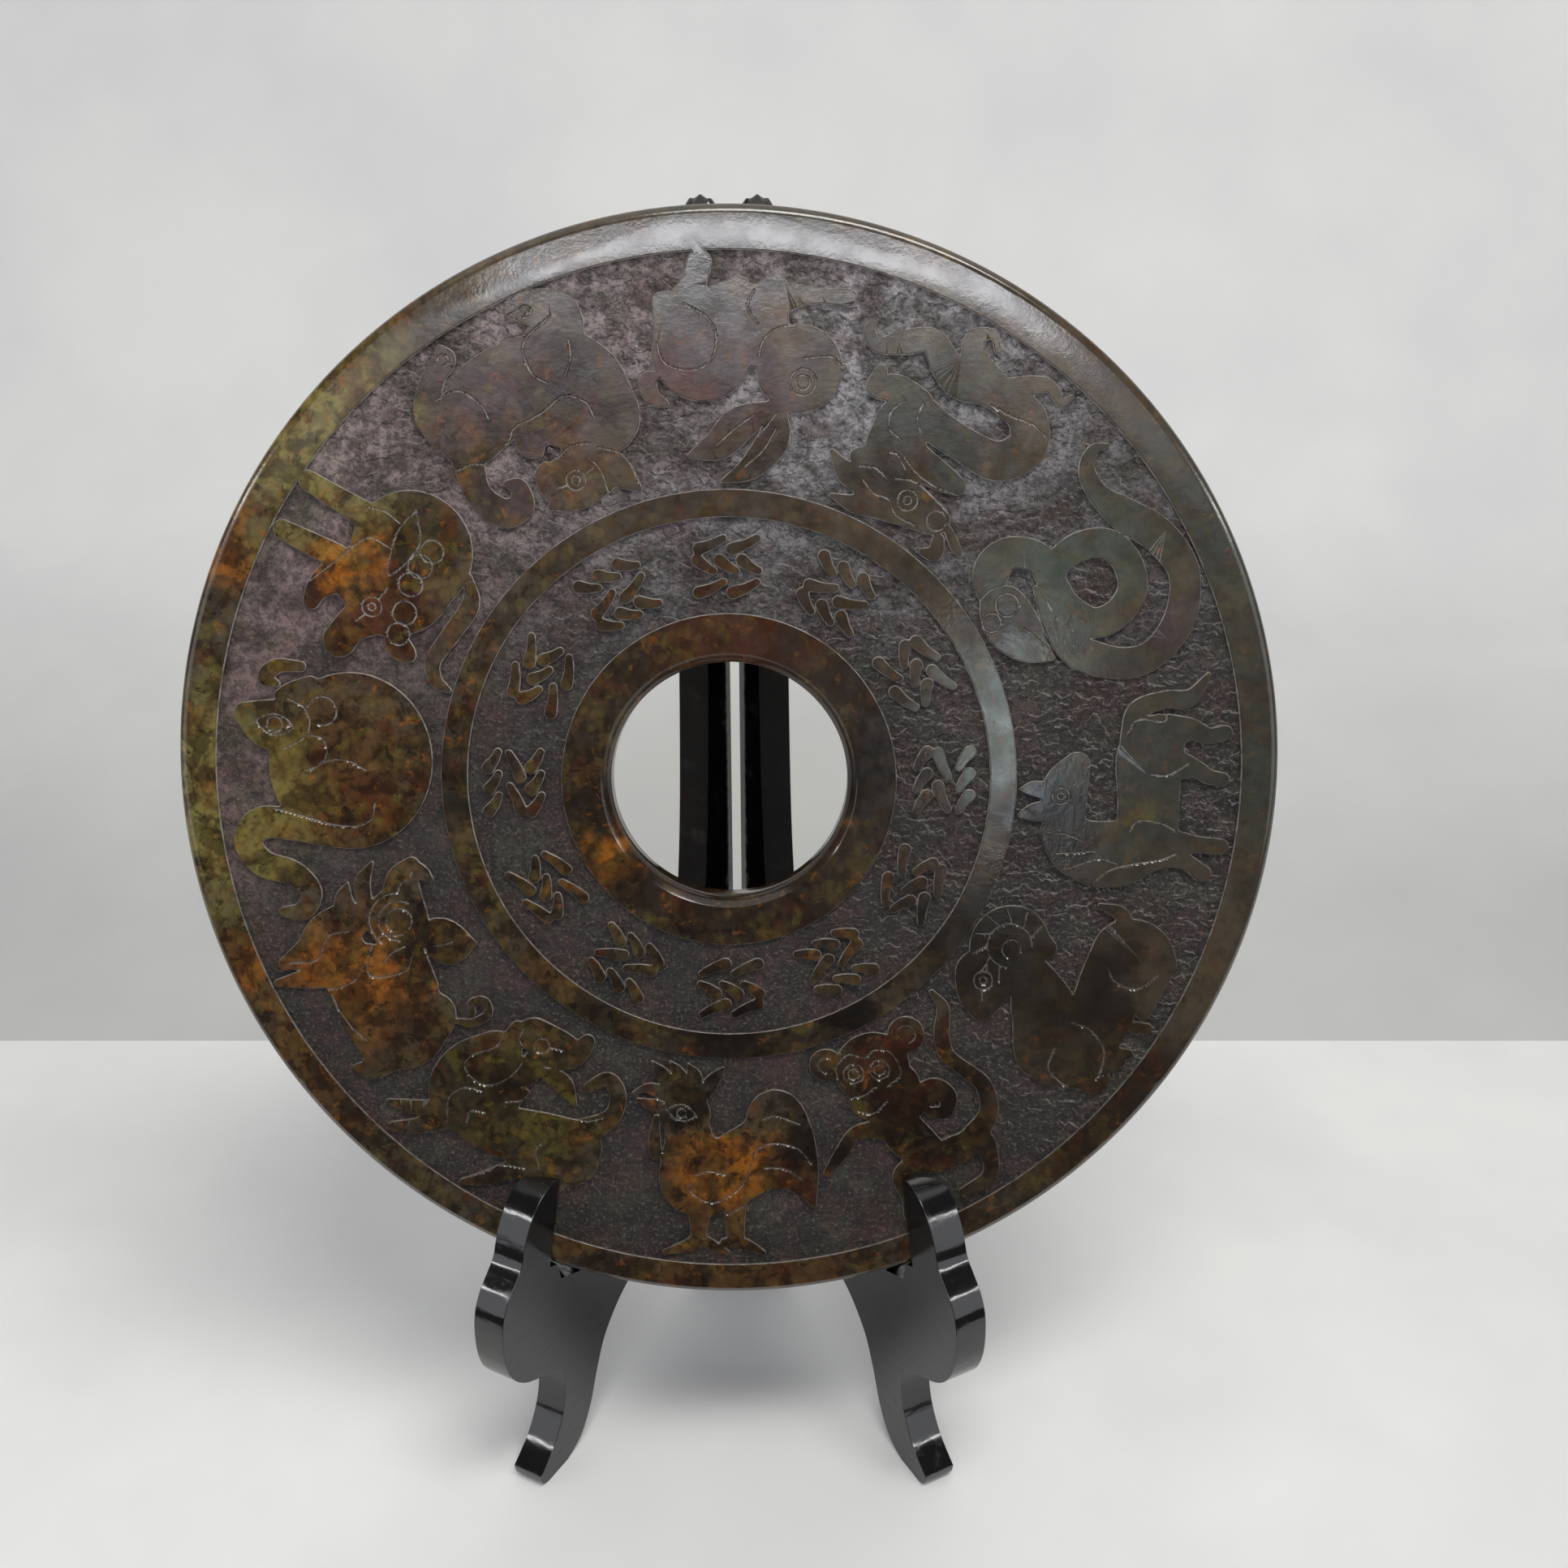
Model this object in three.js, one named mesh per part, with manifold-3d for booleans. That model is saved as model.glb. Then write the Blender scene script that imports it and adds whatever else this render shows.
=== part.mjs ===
// A carved stone bi disc on its folding wooden plate stand. Millimetres, +Z up, the face looks along -Y.
import * as THREE from 'three';
import { mergeVertices } from 'three/addons/utils/BufferGeometryUtils.js';
import Module from 'manifold-3d';

const wasm = await Module();
wasm.setup();

// ---- Driving dimensions -------------------------------------------------------------------------

const LEAN = 13.3 * Math.PI / 180;         // the disc leans back from upright
const SPREAD = 28.6 * Math.PI / 180;       // each leaf of the stand swings out from straight ahead
const FIT_GAP = 0.35;                      // air left between pieces that touch

const disc = {
  radius: 150,
  thickness: 12,
  edge: 2.8,                               // rounding of the outer edge
  outlineLift: 1.5,                        // the carved field sits this much low in the outline
  relief: 1.2,                             // depth of the sunk ground below the polished face
  rimInner: 139.9,
  midRing: [71.5, 78.2],
  innerRing: 45.4,
  bore: 32.5,
  boreChamfer: 2.5,
  centreHeight: 209,
  centreBehind: -59,                       // front centre, measured from the back of the stand
  sides: 60,
};

const leaf = {
  thickness: 10,
  backGap: 2.6,                            // between the two inner faces at the back
  slotPlay: 1.3,                           // air on each side of the disc in its slot
};

const hinge = {
  heights: [96, 272],                      // middle of each hinge
  length: 30,
  plateWidth: 8.6,
  plateThickness: 1.2,
  barrel: 2.3,
  pin: 1.1,
  barrelSides: 10,
  pinSides: 10,
};

const marks = { rows: 3, rowPitch: 5.8, width: 18, rise: 1.4 };

const band = 109;                          // radius on which the middle of every figure lies
const marksBand = 58.4;                    // radius on which the middle of every mark group lies
const places = 12;
const OUTLINE_SLACK = 0.3;                 // an outline may cut a curve this close
const STEPS_PER_SPAN = 3;                  // of a limb, between two of its stations
const ROUND_END = 1.3;                     // a limb wider than this ends round

// ---- Solids and meshes --------------------------------------------------------------------------

function toSolid(geometry) {
  const bare = geometry.index ? geometry.toNonIndexed() : geometry.clone();
  bare.deleteAttribute('normal');
  bare.deleteAttribute('uv');
  const merged = mergeVertices(bare, 1e-4);
  return new wasm.Manifold(new wasm.Mesh({
    numProp: 3,
    vertProperties: new Float32Array(merged.attributes.position.array),
    triVerts: new Uint32Array(merged.index.array),
  }));
}

function toGeometry(solid) {
  const mesh = solid.getMesh();
  const geometry = new THREE.BufferGeometry();
  geometry.setAttribute('position', new THREE.BufferAttribute(mesh.vertProperties, 3));
  geometry.setIndex(new THREE.BufferAttribute(mesh.triVerts, 1));
  geometry.computeVertexNormals();
  return geometry;
}

const join = (solids) => solids.reduce((sum, solid) => sum.add(solid));

// An upright block over a flat outline, from height low to height high.
function block(outline, low, high) {
  const shape = new THREE.Shape(outline);
  const geometry = new THREE.ExtrudeGeometry(shape, { depth: high - low, bevelEnabled: false });
  return toSolid(geometry.translate(0, 0, low));
}

// A turned solid about +Z; the profile is a list of [radius, height] that starts and ends on the axis.
function turned(profile, sides) {
  const points = profile.map(([r, h]) => new THREE.Vector2(r, h));
  return toSolid(new THREE.LatheGeometry(points, sides).rotateX(Math.PI / 2));
}

function ring(inner, outer, low, high, sides) {
  const wall = [[0, low], [outer, low], [outer, high], [0, high]];
  const core = [[0, low - 1], [inner, low - 1], [inner, high + 1], [0, high + 1]];
  return turned(wall, sides).subtract(turned(core, sides));
}

// ---- Outlines that the figures are drawn with ---------------------------------------------------

// An oval: middle, half length, half width, turn in degrees.
function oval(x, y, along, across, turn = 0, sides = 16) {
  const angle = turn * Math.PI / 180;
  return Array.from({ length: sides }, (_, i) => {
    const a = i / sides * Math.PI * 2;
    return new THREE.Vector2(along * Math.cos(a), across * Math.sin(a))
      .rotateAround(new THREE.Vector2(), angle).add(new THREE.Vector2(x, y));
  });
}

// A limb: a smooth curve through [x, y, half width] stations, round where it ends wide and
// pointed where it ends narrow.
function limb(...stations) {
  const curve = new THREE.CatmullRomCurve3(
    stations.map((s) => new THREE.Vector3(...s)), false, 'catmullrom', 0.5);
  const steps = stations.length > 2 ? (stations.length - 1) * STEPS_PER_SPAN : 1;
  const spine = curve.getPoints(steps).map((p) => (
    { at: new THREE.Vector2(p.x, p.y), reach: Math.max(p.z, 0.12) }));
  spine.forEach((station, i) => {
    const before = spine[Math.max(0, i - 1)].at;
    const after = spine[Math.min(steps, i + 1)].at;
    station.way = new THREE.Vector2().subVectors(after, before).normalize();
  });
  const beside = ({ at, reach, way }, ahead, side) => new THREE.Vector2(
    at.x + (way.x * ahead - way.y * side) * reach, at.y + (way.y * ahead + way.x * side) * reach);
  const outside = (point) => spine.every(({ at, reach }) => point.distanceTo(at) > reach * 0.96);
  const left = spine.map((station) => beside(station, 0, 1)).filter(outside);
  const right = spine.map((station) => beside(station, 0, -1)).filter(outside);
  const cap = (station, ahead) => (station.reach > ROUND_END
    ? [beside(station, ahead * 0.7, -ahead * 0.72), beside(station, ahead, 0),
      beside(station, ahead * 0.7, ahead * 0.72)]
    : [beside(station, ahead * 0.7, 0)]);
  return thinned([...right, ...cap(spine[steps], 1), ...left.reverse(), ...cap(spine[0], -1)]);
}

// A straight chisel stroke between two [x, y, half width] ends.
function bar([x0, y0, w0], [x1, y1, w1]) {
  const way = new THREE.Vector2(x1 - x0, y1 - y0).normalize();
  const corner = (x, y, w) => new THREE.Vector2(x - way.y * w, y + way.x * w);
  return [corner(x0, y0, -w0), corner(x1, y1, -w1), corner(x1, y1, w1), corner(x0, y0, w0)];
}

// Drops the points of an outline that lie nearly on the line between their neighbours.
function thinned(outline) {
  const kept = [...outline];
  for (let i = kept.length - 1; i >= 0 && kept.length > 4; i--) {
    const before = kept[(i + kept.length - 1) % kept.length];
    const after = kept[(i + 1) % kept.length];
    const chord = new THREE.Vector2().subVectors(after, before);
    const reach = new THREE.Vector2().subVectors(kept[i], before);
    if (Math.abs(chord.cross(reach)) / chord.length() < OUTLINE_SLACK) kept.splice(i, 1);
  }
  return kept;
}

// ---- The twelve figures, clockwise from the bottom of the disc ----------------------------------
// Each stands upright with its feet to the rim. x runs across, y towards the middle of the disc.

const figures = [
  {
    name: 'rooster',
    head: oval(-13, 14.2, 7, 7),
    beak: limb([-18, 20, 2.2], [-23, 21.8, 1.3], [-27.4, 20.4, 0.2]),
    lowerBeak: limb([-18.5, 16.6, 1.6], [-22.5, 17, 1.5], [-26, 18.6, 0.2]),
    comb1: limb([-15, 20.5, 1], [-18.8, 25.4, 1.9], [-21.9, 29.6, 0.1]),
    comb2: limb([-12, 20.5, 1], [-14.2, 25.6, 1.7], [-16.8, 29.6, 0.1]),
    comb3: limb([-9.5, 20, 1], [-10, 25.2, 1.7], [-11.8, 28.8, 0.1]),
    comb4: limb([-8, 18.6, 1], [-5.4, 23.4, 1.9], [-2, 27.8, 0.1]),
    wattle: limb([-21, 13.4, 0.5], [-21.6, 6.5, 1.5], [-21.2, 2.4, 1.5]),
    neck: limb([-12, 8, 6.4], [-11, 1, 8.6]),
    breast: oval(-8.6, -4.2, 11.6, 12),
    tail: limb([-1, -2, 9], [8, 8, 5.6], [12.6, 14.6, 6.6], [18, 8, 5], [21.6, -2, 2.9], [23.6, -13, 0.3]),
    coverts: limb([-2, -6, 8.4], [8, -1.5, 7], [16, -2.4, 5.4], [20.6, -7, 3], [23.6, -13, 0.3]),
    leftLeg: limb([-9, -14, 3], [-9.4, -22, 1.9]),
    leftFoot: limb([-19.2, -27, 0.5], [-13, -25.2, 1.5], [-8.6, -23.4, 1.6], [-1.2, -27, 0.5]),
    rightLeg: limb([1, -12, 3], [1.2, -22, 2.2]),
    rightFoot: limb([-2, -24, 1], [3.4, -24.4, 1.5], [9, -27, 0.5]),
  },
  {
    name: 'dog',
    head: limb([-11.5, 19.6, 4.8], [-4, 19.2, 5.4], [1, 20.6, 3.2], [2.2, 25.4, 1.8]),
    jaw: oval(-2.4, 17.4, 4.2, 3),
    ear: limb([-16.2, 18.6, 2.4], [-16.4, 11.5, 3.4], [-18.4, 5, 5.6]),
    back: limb([-18, 9, 7], [-22, 1, 8.6], [-21, -6.5, 8.4], [-9, -9.8, 7.4], [6, -6.5, 8.4], [13.6, -4, 8]),
    haunch: oval(13.4, -7.6, 9, 8),
    throat: limb([-8, 12, 3.2], [-9, 5, 4], [-12, -3, 6]),
    bell: limb([-6.6, 11, 0.6], [1.4, 11.2, 2.6], [8, 7.4, 0.4]),
    tail: limb([14, 1, 4], [18.6, 9, 2.3], [17.4, 15.6, 2.1], [12.6, 18.6, 1.9], [9, 14, 1.3]),
    frontPaw: limb([-23, -13, 3.2], [-30, -15.4, 2], [-37.6, -18, 0.8]),
    frontLeg: limb([-22, -15, 2.6], [-28, -20.6, 2], [-33.4, -23.8, 1.2]),
    hindLeg: limb([8, -12, 4.4], [1.6, -18.6, 2.6], [-4, -24.6, 1.8], [-8.4, -28.4, 0.8]),
    hindFoot: limb([14, -12, 4], [12, -20, 3], [8, -26, 1.6]),
  },
  {
    name: 'pig',
    body: limb([-5, -8, 9], [2, -5.6, 12.4], [12, -5, 14]),
    shoulder: limb([-3, 5, 7], [6, 3, 7.4]),
    rump: oval(15.4, -4, 9, 14.6),
    head: oval(-12.4, 10, 8.6, 8.4),
    snout: limb([-14, 13, 6], [-21, 17, 4.2], [-24, 22, 1.6]),
    snoutTip: limb([-23.6, 21.6, 1.6], [-20.4, 23, 1.8], [-17.4, 24.2, 0.4]),
    ear: limb([-5, 13.4, 2], [-2.6, 18.6, 4.6], [3.8, 25.2, 0.3]),
    farEar: limb([0, 14, 1.6], [3, 18, 3], [4.2, 24.6, 0.3]),
    mane: limb([-29.6, 12.6, 0.2], [-26, 7.2, 2], [-19.6, 4.4, 1.8]),
    mane2: limb([-28, 3.6, 0.2], [-24, 0, 2.4], [-17, -0.6, 2.4]),
    foreleg: limb([-19, -2, 5.4], [-20, -9, 4.4], [-17, -15.6, 4], [-17.4, -23.6, 1.6]),
    chest: oval(-12.6, -9.4, 6, 8),
    nearLeg: limb([-9, -12, 5], [-10.4, -19, 3], [-13.8, -28.4, 0.8]),
    hindLeg: limb([18, -12, 6], [20, -18.6, 3], [17.6, -22.6, 0.6]),
    tail: limb([20.6, 9.4, 0.6], [23, 12.6, 1], [23, 17.6, 1], [19.4, 18.8, 1], [18, 15.6, 0.9],
      [20.6, 14, 0.7]),
  },
  {
    name: 'rat',
    body: oval(-5.6, 6, 22, 24, 80, 24),
    belly: limb([-18, 0, 9], [-4, -3, 8.6], [8, 2, 8]),
    head: limb([-15.6, -8, 6.6], [-15.6, -15, 6.6], [-18.4, -21.6, 3.2]),
    cheek: limb([-26, -4, 2.6], [-25, -9, 2], [-23.6, -12, 1.6]),
    ear: oval(-19.4, -1.4, 4.4, 4.8),
    paw: limb([-2.4, -6.6, 1.4], [-6.6, -9, 1.8], [-6.4, -13, 1.8], [-3, -13.4, 0.8]),
    whisker: limb([-31.4, -6.4, 1.2], [-31.6, -12.6, 1.7], [-28.6, -16, 1.9], [-26.8, -13, 0.6]),
    tail: limb([12, 0, 6], [11.6, -11, 4.4], [11.6, -19.4, 4.2], [17, -23, 3.6], [22.8, -19, 3.6],
      [25.4, -11, 3.2], [30.6, -6.4, 2.8], [36, -8.6, 2.4], [36.4, -14, 1.2]),
  },
  {
    name: 'ox',
    body: oval(-11.4, 5, 16, 16, 0, 20),
    back: limb([-8, 14, 6.4], [0, 12, 7], [5, 7, 7]),
    neck: limb([-6, 3, 9], [2, -1, 8]),
    face: limb([1, 5, 7.6], [8, 3, 5.8], [14, 0, 4.2], [19, -0.8, 4.2]),
    jaw: limb([-1.6, -2, 8], [4, -9.4, 4.6], [9.4, -12.2, 2.9], [13.4, -12.2, 2]),
    farHorn: limb([-17.4, 13.4, 1], [-16.4, 9.4, 2.2], [-10, 8.8, 3.2], [0, 9.4, 3.2]),
    horn: limb([1, 10.8, 3], [8, 11.8, 3], [12.4, 12.6, 2.4], [15.4, 15.4, 0.5]),
    hornTip: limb([11, 13.4, 2], [13, 17, 1.8], [14.6, 16.8, 0.8]),
    tail: limb([-13, 21.4, 0.8], [-7, 25.2, 2.2], [3, 24.4, 2.2], [11, 23.6, 1.9], [15.4, 26.4, 1.6],
      [16.2, 31, 0.5]),
    frontLeg: limb([-13.4, -4, 4.4], [-14, -14, 3.1], [-14.4, -27.6, 2.4]),
    hindLeg: limb([-0.6, -12, 3], [0, -20, 2.8], [0.4, -27.6, 2.4]),
  },
  {
    name: 'tiger',
    ear: limb([-19, 29.2, 0.6], [-16.4, 22.6, 3.6], [-14, 16, 4]),
    head: oval(-5.6, 18.4, 9.6, 7.4, -16),
    brow: limb([-11.4, 22, 4], [-4, 22, 4], [3.4, 21.8, 0.8]),
    muzzle: limb([-8, 14, 4], [0, 14.6, 3.6]),
    jaw: limb([-14, 8, 8], [-8, 4.6, 5], [-1.4, 4.4, 4.6]),
    shoulder: limb([-20, 8, 10], [-20.6, -2, 10], [-15, -8, 11]),
    body: limb([-17, -7, 11], [-5, -10.6, 10.4], [4, -9.6, 11], [12, -6, 9]),
    tail: limb([16.4, 0, 4], [18.6, 9, 3.3], [15.6, 16.6, 3.6], [10.4, 17.4, 3.2], [8.4, 13, 2],
      [10.6, 10.8, 0.8]),
    hindLeg: limb([-16, -12, 8], [-23, -19, 6], [-18.6, -24.6, 4.4], [-14, -27, 2.2]),
    frontLeg: limb([18, -9, 4.6], [19, -15.6, 3.6], [14, -21.6, 2.8], [8, -25, 2.6]),
    frontToe: limb([8.6, -24, 2.4], [7.8, -27.6, 1]),
  },
  {
    name: 'rabbit',
    head: oval(-19, -0.6, 11, 11, 0, 20),
    nose: limb([-22, -1, 6], [-30.8, -0.8, 0.6]),
    ear: limb([-14, 10, 1.6], [-12, 18, 3.9], [-6, 25, 2.8], [1.2, 28.4, 0.3]),
    farEar: limb([-11, 9.6, 1.6], [-3.4, 13.6, 4.2], [2.4, 19, 3.6], [10, 21.8, 0.4]),
    neck: limb([-10, -6, 5], [-4, -8, 7]),
    body: oval(6.4, -5.4, 13, 13, 0, 20),
    chest: oval(-6, -12.4, 10, 9.4),
    rump: limb([12, -8, 7], [14.4, -15, 4.6], [17, -17.6, 2.2]),
    forearm: limb([-9, -15.6, 4.4], [-17, -18.8, 3], [-24, -19, 1.7], [-31.6, -18.6, 2.1]),
    frontLeg: limb([-8, -16, 5.6], [-12.6, -21.6, 2.8]),
    belly: limb([4, -15, 6], [-3, -20.4, 3.4]),
    hindFoot: limb([12, -17, 3.6], [8.4, -22.4, 3], [7, -27.4, 3]),
    tail: limb([16.4, 8.4, 0.8], [19.8, 6.6, 1.9], [20.8, 2.6, 2], [18.4, 1.2, 0.7]),
  },
  {
    name: 'dragon',
    head: limb([-12.4, 20.4, 3.8], [-5, 20.4, 5.6], [3, 20, 7.4], [8, 18, 6]),
    horn: limb([3, 24, 4], [8, 27.4, 2.2], [14.6, 28.6, 0.3]),
    mane: limb([8, 19, 5], [13.6, 21.4, 2.8], [20.2, 18.6, 0.3]),
    cheek: limb([4, 14, 4], [9, 13.6, 3], [14, 16.4, 1.6]),
    snoutCurl: limb([-16, 24.6, 1.4], [-17, 28, 1.8], [-14, 29.4, 0.8]),
    whisker: limb([-17, 21, 0.8], [-20.6, 23.6, 1.1], [-23, 25, 0.4]),
    jaw: limb([-13, 10, 2.2], [-8, 10, 3.4], [0, 9.4, 4.2], [4, 8, 5]),
    neck: limb([7, 9, 7], [7.6, 2, 6.4], [3, -1, 4.6]),
    coil: limb([3, -0.8, 4.4], [-8, -0.2, 4.2], [-19, -1, 4.9], [-23.8, -8, 5], [-19.6, -14.6, 4.8],
      [-9, -15.8, 4], [0, -13.4, 4], [6, -15.8, 3.8], [12, -19, 2.8], [17.6, -15, 2.9], [23.6, -10.8, 1.6],
      [27.4, -13.2, 1.2], [26.9, -17, 0.2]),
    foreleg: limb([7, -2.6, 4.4], [13.6, -3.6, 3.6], [18.6, -1.4, 2.2], [19.4, -5.6, 1.4]),
    claw: limb([-8, -18.6, 2.4], [-0.6, -20.4, 3.2], [2.2, -25, 2.2], [-1.2, -28.2, 1], [-4.4, -25.4, 0.6]),
    hindClaw: limb([-12, -19.4, 1.8], [-17, -22.4, 2.2], [-21, -24.4, 1.4], [-25.6, -22.4, 0.9],
      [-27.4, -25, 0.3]),
  },
  {
    name: 'snake',
    head: limb([-14.4, 16.6, 0.6], [-8, 20.4, 4.6], [-1, 21.8, 7], [3.4, 21.6, 6.2]),
    neck: limb([6, 23.6, 2.6], [13.6, 20, 4.6], [16, 13.6, 4], [11, 7.2, 3.8], [2, 6.8, 3.4],
      [-6, 6.6, 3.4]),
    coilLeft: limb([-4, 6.8, 3.4], [-11.6, 2.6, 3.8], [-12.6, -4.6, 3.7], [-8.8, -11, 3.7],
      [-1.6, -13, 3.7], [5, -10.6, 3.7], [8, -4.4, 3.6], [7.6, 2, 3.4], [6, 5, 3]),
    outer: limb([4, 11.4, 0.6], [-7, 12.6, 2], [-17, 9.4, 4.2], [-25, 1, 4], [-27, -8, 3.7],
      [-22, -18.4, 4], [-11.6, -25, 3.9], [0, -23.6, 4.4], [9, -18.6, 4.2], [17, -15, 2.6], [24.4, -15, 2],
      [28.4, -19, 1.2], [27.6, -23, 0.2]),
  },
  {
    name: 'horse',
    ear: limb([-9.4, 29.6, 0.3], [-8.4, 25.4, 2.2], [-8, 20, 2.6]),
    farEar: limb([-2.2, 29.2, 0.3], [-2, 25.4, 1.9], [-3, 21, 2]),
    head: limb([-8, 17.4, 5.8], [-1.6, 17.2, 5.8], [4.4, 14.2, 3.4]),
    neck: limb([-13, 18, 5], [-18.6, 11, 7.6], [-18.6, 1, 7.8], [-15, -6, 7]),
    mane: limb([-14, 21, 2.6], [-21.6, 17, 2.8], [-26.4, 9, 2.4], [-26.4, 0, 2.2], [-22.6, -8, 1.6]),
    body: limb([-14, -5.6, 8], [-4, -5.6, 8.2], [5.6, -5.4, 8.8], [10, -6.6, 8]),
    tail: limb([12, 0, 2.4], [19.4, -1.6, 2.4], [22.4, -9, 2.2], [23, -16, 2.1], [29.2, -20.6, 0.4]),
    foreleg: limb([-20, -8, 4], [-21.6, -15, 2.2], [-25.6, -21.4, 1.9]),
    nearLeg: limb([-17, -10, 4.4], [-17.4, -18, 2.3], [-18, -25.8, 1.9]),
    hindLeg: limb([5, -11, 4.4], [3.6, -18, 2.2], [1.4, -21.6, 1.8], [0.6, -25.6, 1.6]),
    farHind: limb([13, -9, 5.4], [14.4, -16, 2.8], [12.6, -21, 2], [13.4, -25.8, 1.8]),
  },
  {
    name: 'goat',
    head: limb([-12, 22, 6.6], [-17, 20, 5], [-20.4, 16.4, 3.2]),
    muzzle: limb([-18, 15.6, 3.2], [-11.4, 15.4, 3.9]),
    horn: oval(-1, 19, 11.2, 10.6, 0, 20),
    hornEnd: limb([4, 14, 4], [3.4, 9.6, 2.6]),
    neck: limb([-6, 14, 7], [-7.4, 7, 6.8], [-12, 1, 9]),
    chest: limb([-17, -1, 7.6], [-22, -6, 8.4], [-20.6, -13, 8]),
    body: limb([-20, -12, 9], [-8, -13.6, 8.8], [4, -11.6, 9.2], [10.4, -12, 10.6]),
    rump: oval(13.2, -12.6, 10.4, 11.6, 0, 20),
    hindLeg: limb([15, -20, 4.6], [7, -22.4, 2.6], [1, -23.6, 1.8]),
    foreleg: limb([-22, -18, 4.6], [-24, -23, 1.9], [-20.6, -24.4, 1.2]),
    hoof: limb([-18, -22.4, 1.8], [-14.4, -24.8, 1.8]),
    farHoof: limb([-12.4, -22.6, 1.2], [-11.2, -26, 1.2]),
    hindHoof: limb([-3.6, -24, 1.6], [-2.4, -26.6, 1.4]),
    tail: limb([18.4, -7.4, 1.8], [22, -3, 1.8], [21.2, 3, 0.5]),
  },
  {
    name: 'monkey',
    head: oval(-6.2, 19, 10.4, 9.8, 0, 20),
    muzzle: oval(-6.6, 11, 10.2, 8),
    ear: oval(-17, 26, 4.4, 4.4, 0, 12),
    farEar: oval(6.8, 22.6, 4.8, 5, 0, 12),
    arm: limb([-32.4, -1.8, 0.9], [-26, 1.4, 1.7], [-19, 4.4, 1.8], [-10, 0, 3]),
    body: limb([-8, 2, 5.4], [-7, -5, 6], [-3.4, -12.6, 4.6], [3, -14.4, 4]),
    farArm: limb([-1, 3.6, 3.4], [5.4, 5, 3], [8, 1, 2.4], [5.4, -2.6, 1.8], [1.6, -0.6, 1.2]),
    leg: limb([-3, -13, 3.6], [-10.6, -11.6, 2.3], [-15, -13.4, 2.2], [-16, -19.6, 1.9], [-18, -24.6, 1.9]),
    farLeg: limb([3, -14, 4], [9.6, -15, 3.4], [9.8, -20.6, 2.2], [6.6, -25.6, 1.9], [-1.4, -26.4, 1.5]),
    tail: limb([8, -13.4, 3.4], [15.8, -9, 2.5], [18.4, -1, 2.1], [15.6, 6.4, 1.9], [13.8, 12, 1.9],
      [15.6, 18, 1.9], [19.4, 24, 1.5], [19, 29.6, 0.5]),
  },
];

// Three rows of short slanting strokes that stand where an inscription would; they spell nothing.
// The rows lean to one side and the other in turn, and hold two or three strokes each.
function markGroup(index) {
  const strokes = [];
  for (let row = 0; row < marks.rows; row++) {
    const count = 2 + (index + row) % 2;
    const y = ((marks.rows - 1) / 2 - row) * marks.rowPitch;
    const pitch = marks.width / count;
    const lean = row % 2 === index % 2 ? 1 : -1;
    for (let i = 0; i < count; i++) {
      const x = (i - (count - 1) / 2) * pitch;
      const reach = pitch * 0.36;
      strokes.push(bar([x - reach, y - lean * marks.rise, 0.65], [x + reach, y + lean * marks.rise, 1.2]));
    }
  }
  return strokes;
}

// ---- The disc -----------------------------------------------------------------------------------

// Stands one outline on the disc at its place, at a radius, turned with the place clockwise.
function raised(outline, place, radius) {
  const angle = -place / places * Math.PI * 2;
  const moved = outline.map((p) => new THREE.Vector2(p.x, p.y - radius)
    .rotateAround(new THREE.Vector2(), angle));
  return block(moved, -disc.relief - 1, 2);
}

function carvedDisc() {
  const { radius: r, thickness: t, edge: e } = disc;
  const profile = [[0, -t], [r - e, -t], [r, e - t], [r, -e], [r - e * 0.3, -e * 0.3], [r - e, 0], [0, 0]];
  let body = turned(profile, disc.sides).translate([0, disc.outlineLift, 0]);
  const bore = [[0, -t - 1], [disc.bore, -t - 1], [disc.bore, -disc.boreChamfer],
    [disc.bore + disc.boreChamfer + 1, 1], [0, 1]];
  body = body.subtract(turned(bore, 48));
  const figureSolids = figures.flatMap(({ name, ...outlines }, place) =>
    Object.values(outlines).map((outline) => raised(outline, place, band)));
  const markSolids = Array.from({ length: places }, (_, place) => markGroup(place))
    .flatMap((strokes, place) => strokes.map((outline) => raised(outline, place, marksBand)));
  const outerGround = ring(disc.midRing[1], disc.rimInner, -disc.relief, 1, disc.sides);
  const innerGround = ring(disc.innerRing, disc.midRing[0], -disc.relief, 1, 48);
  return body.subtract(outerGround.subtract(join(figureSolids)))
    .subtract(innerGround.subtract(join(markSolids)));
}

const discPose = new THREE.Matrix4().makeRotationX(Math.PI / 2 - LEAN)
  .setPosition(0, disc.centreBehind, disc.centreHeight);

// The room that the disc needs where it passes through the stand: itself with some air around it.
function discRoom(side, below) {
  const profile = [[0, -disc.thickness - side], [disc.radius + below, -disc.thickness - side],
    [disc.radius + below, side], [0, side]];
  return turned(profile, 144).translate([0, disc.outlineLift, 0]).transform(discPose.elements);
}

// ---- The stand ----------------------------------------------------------------------------------

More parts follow.
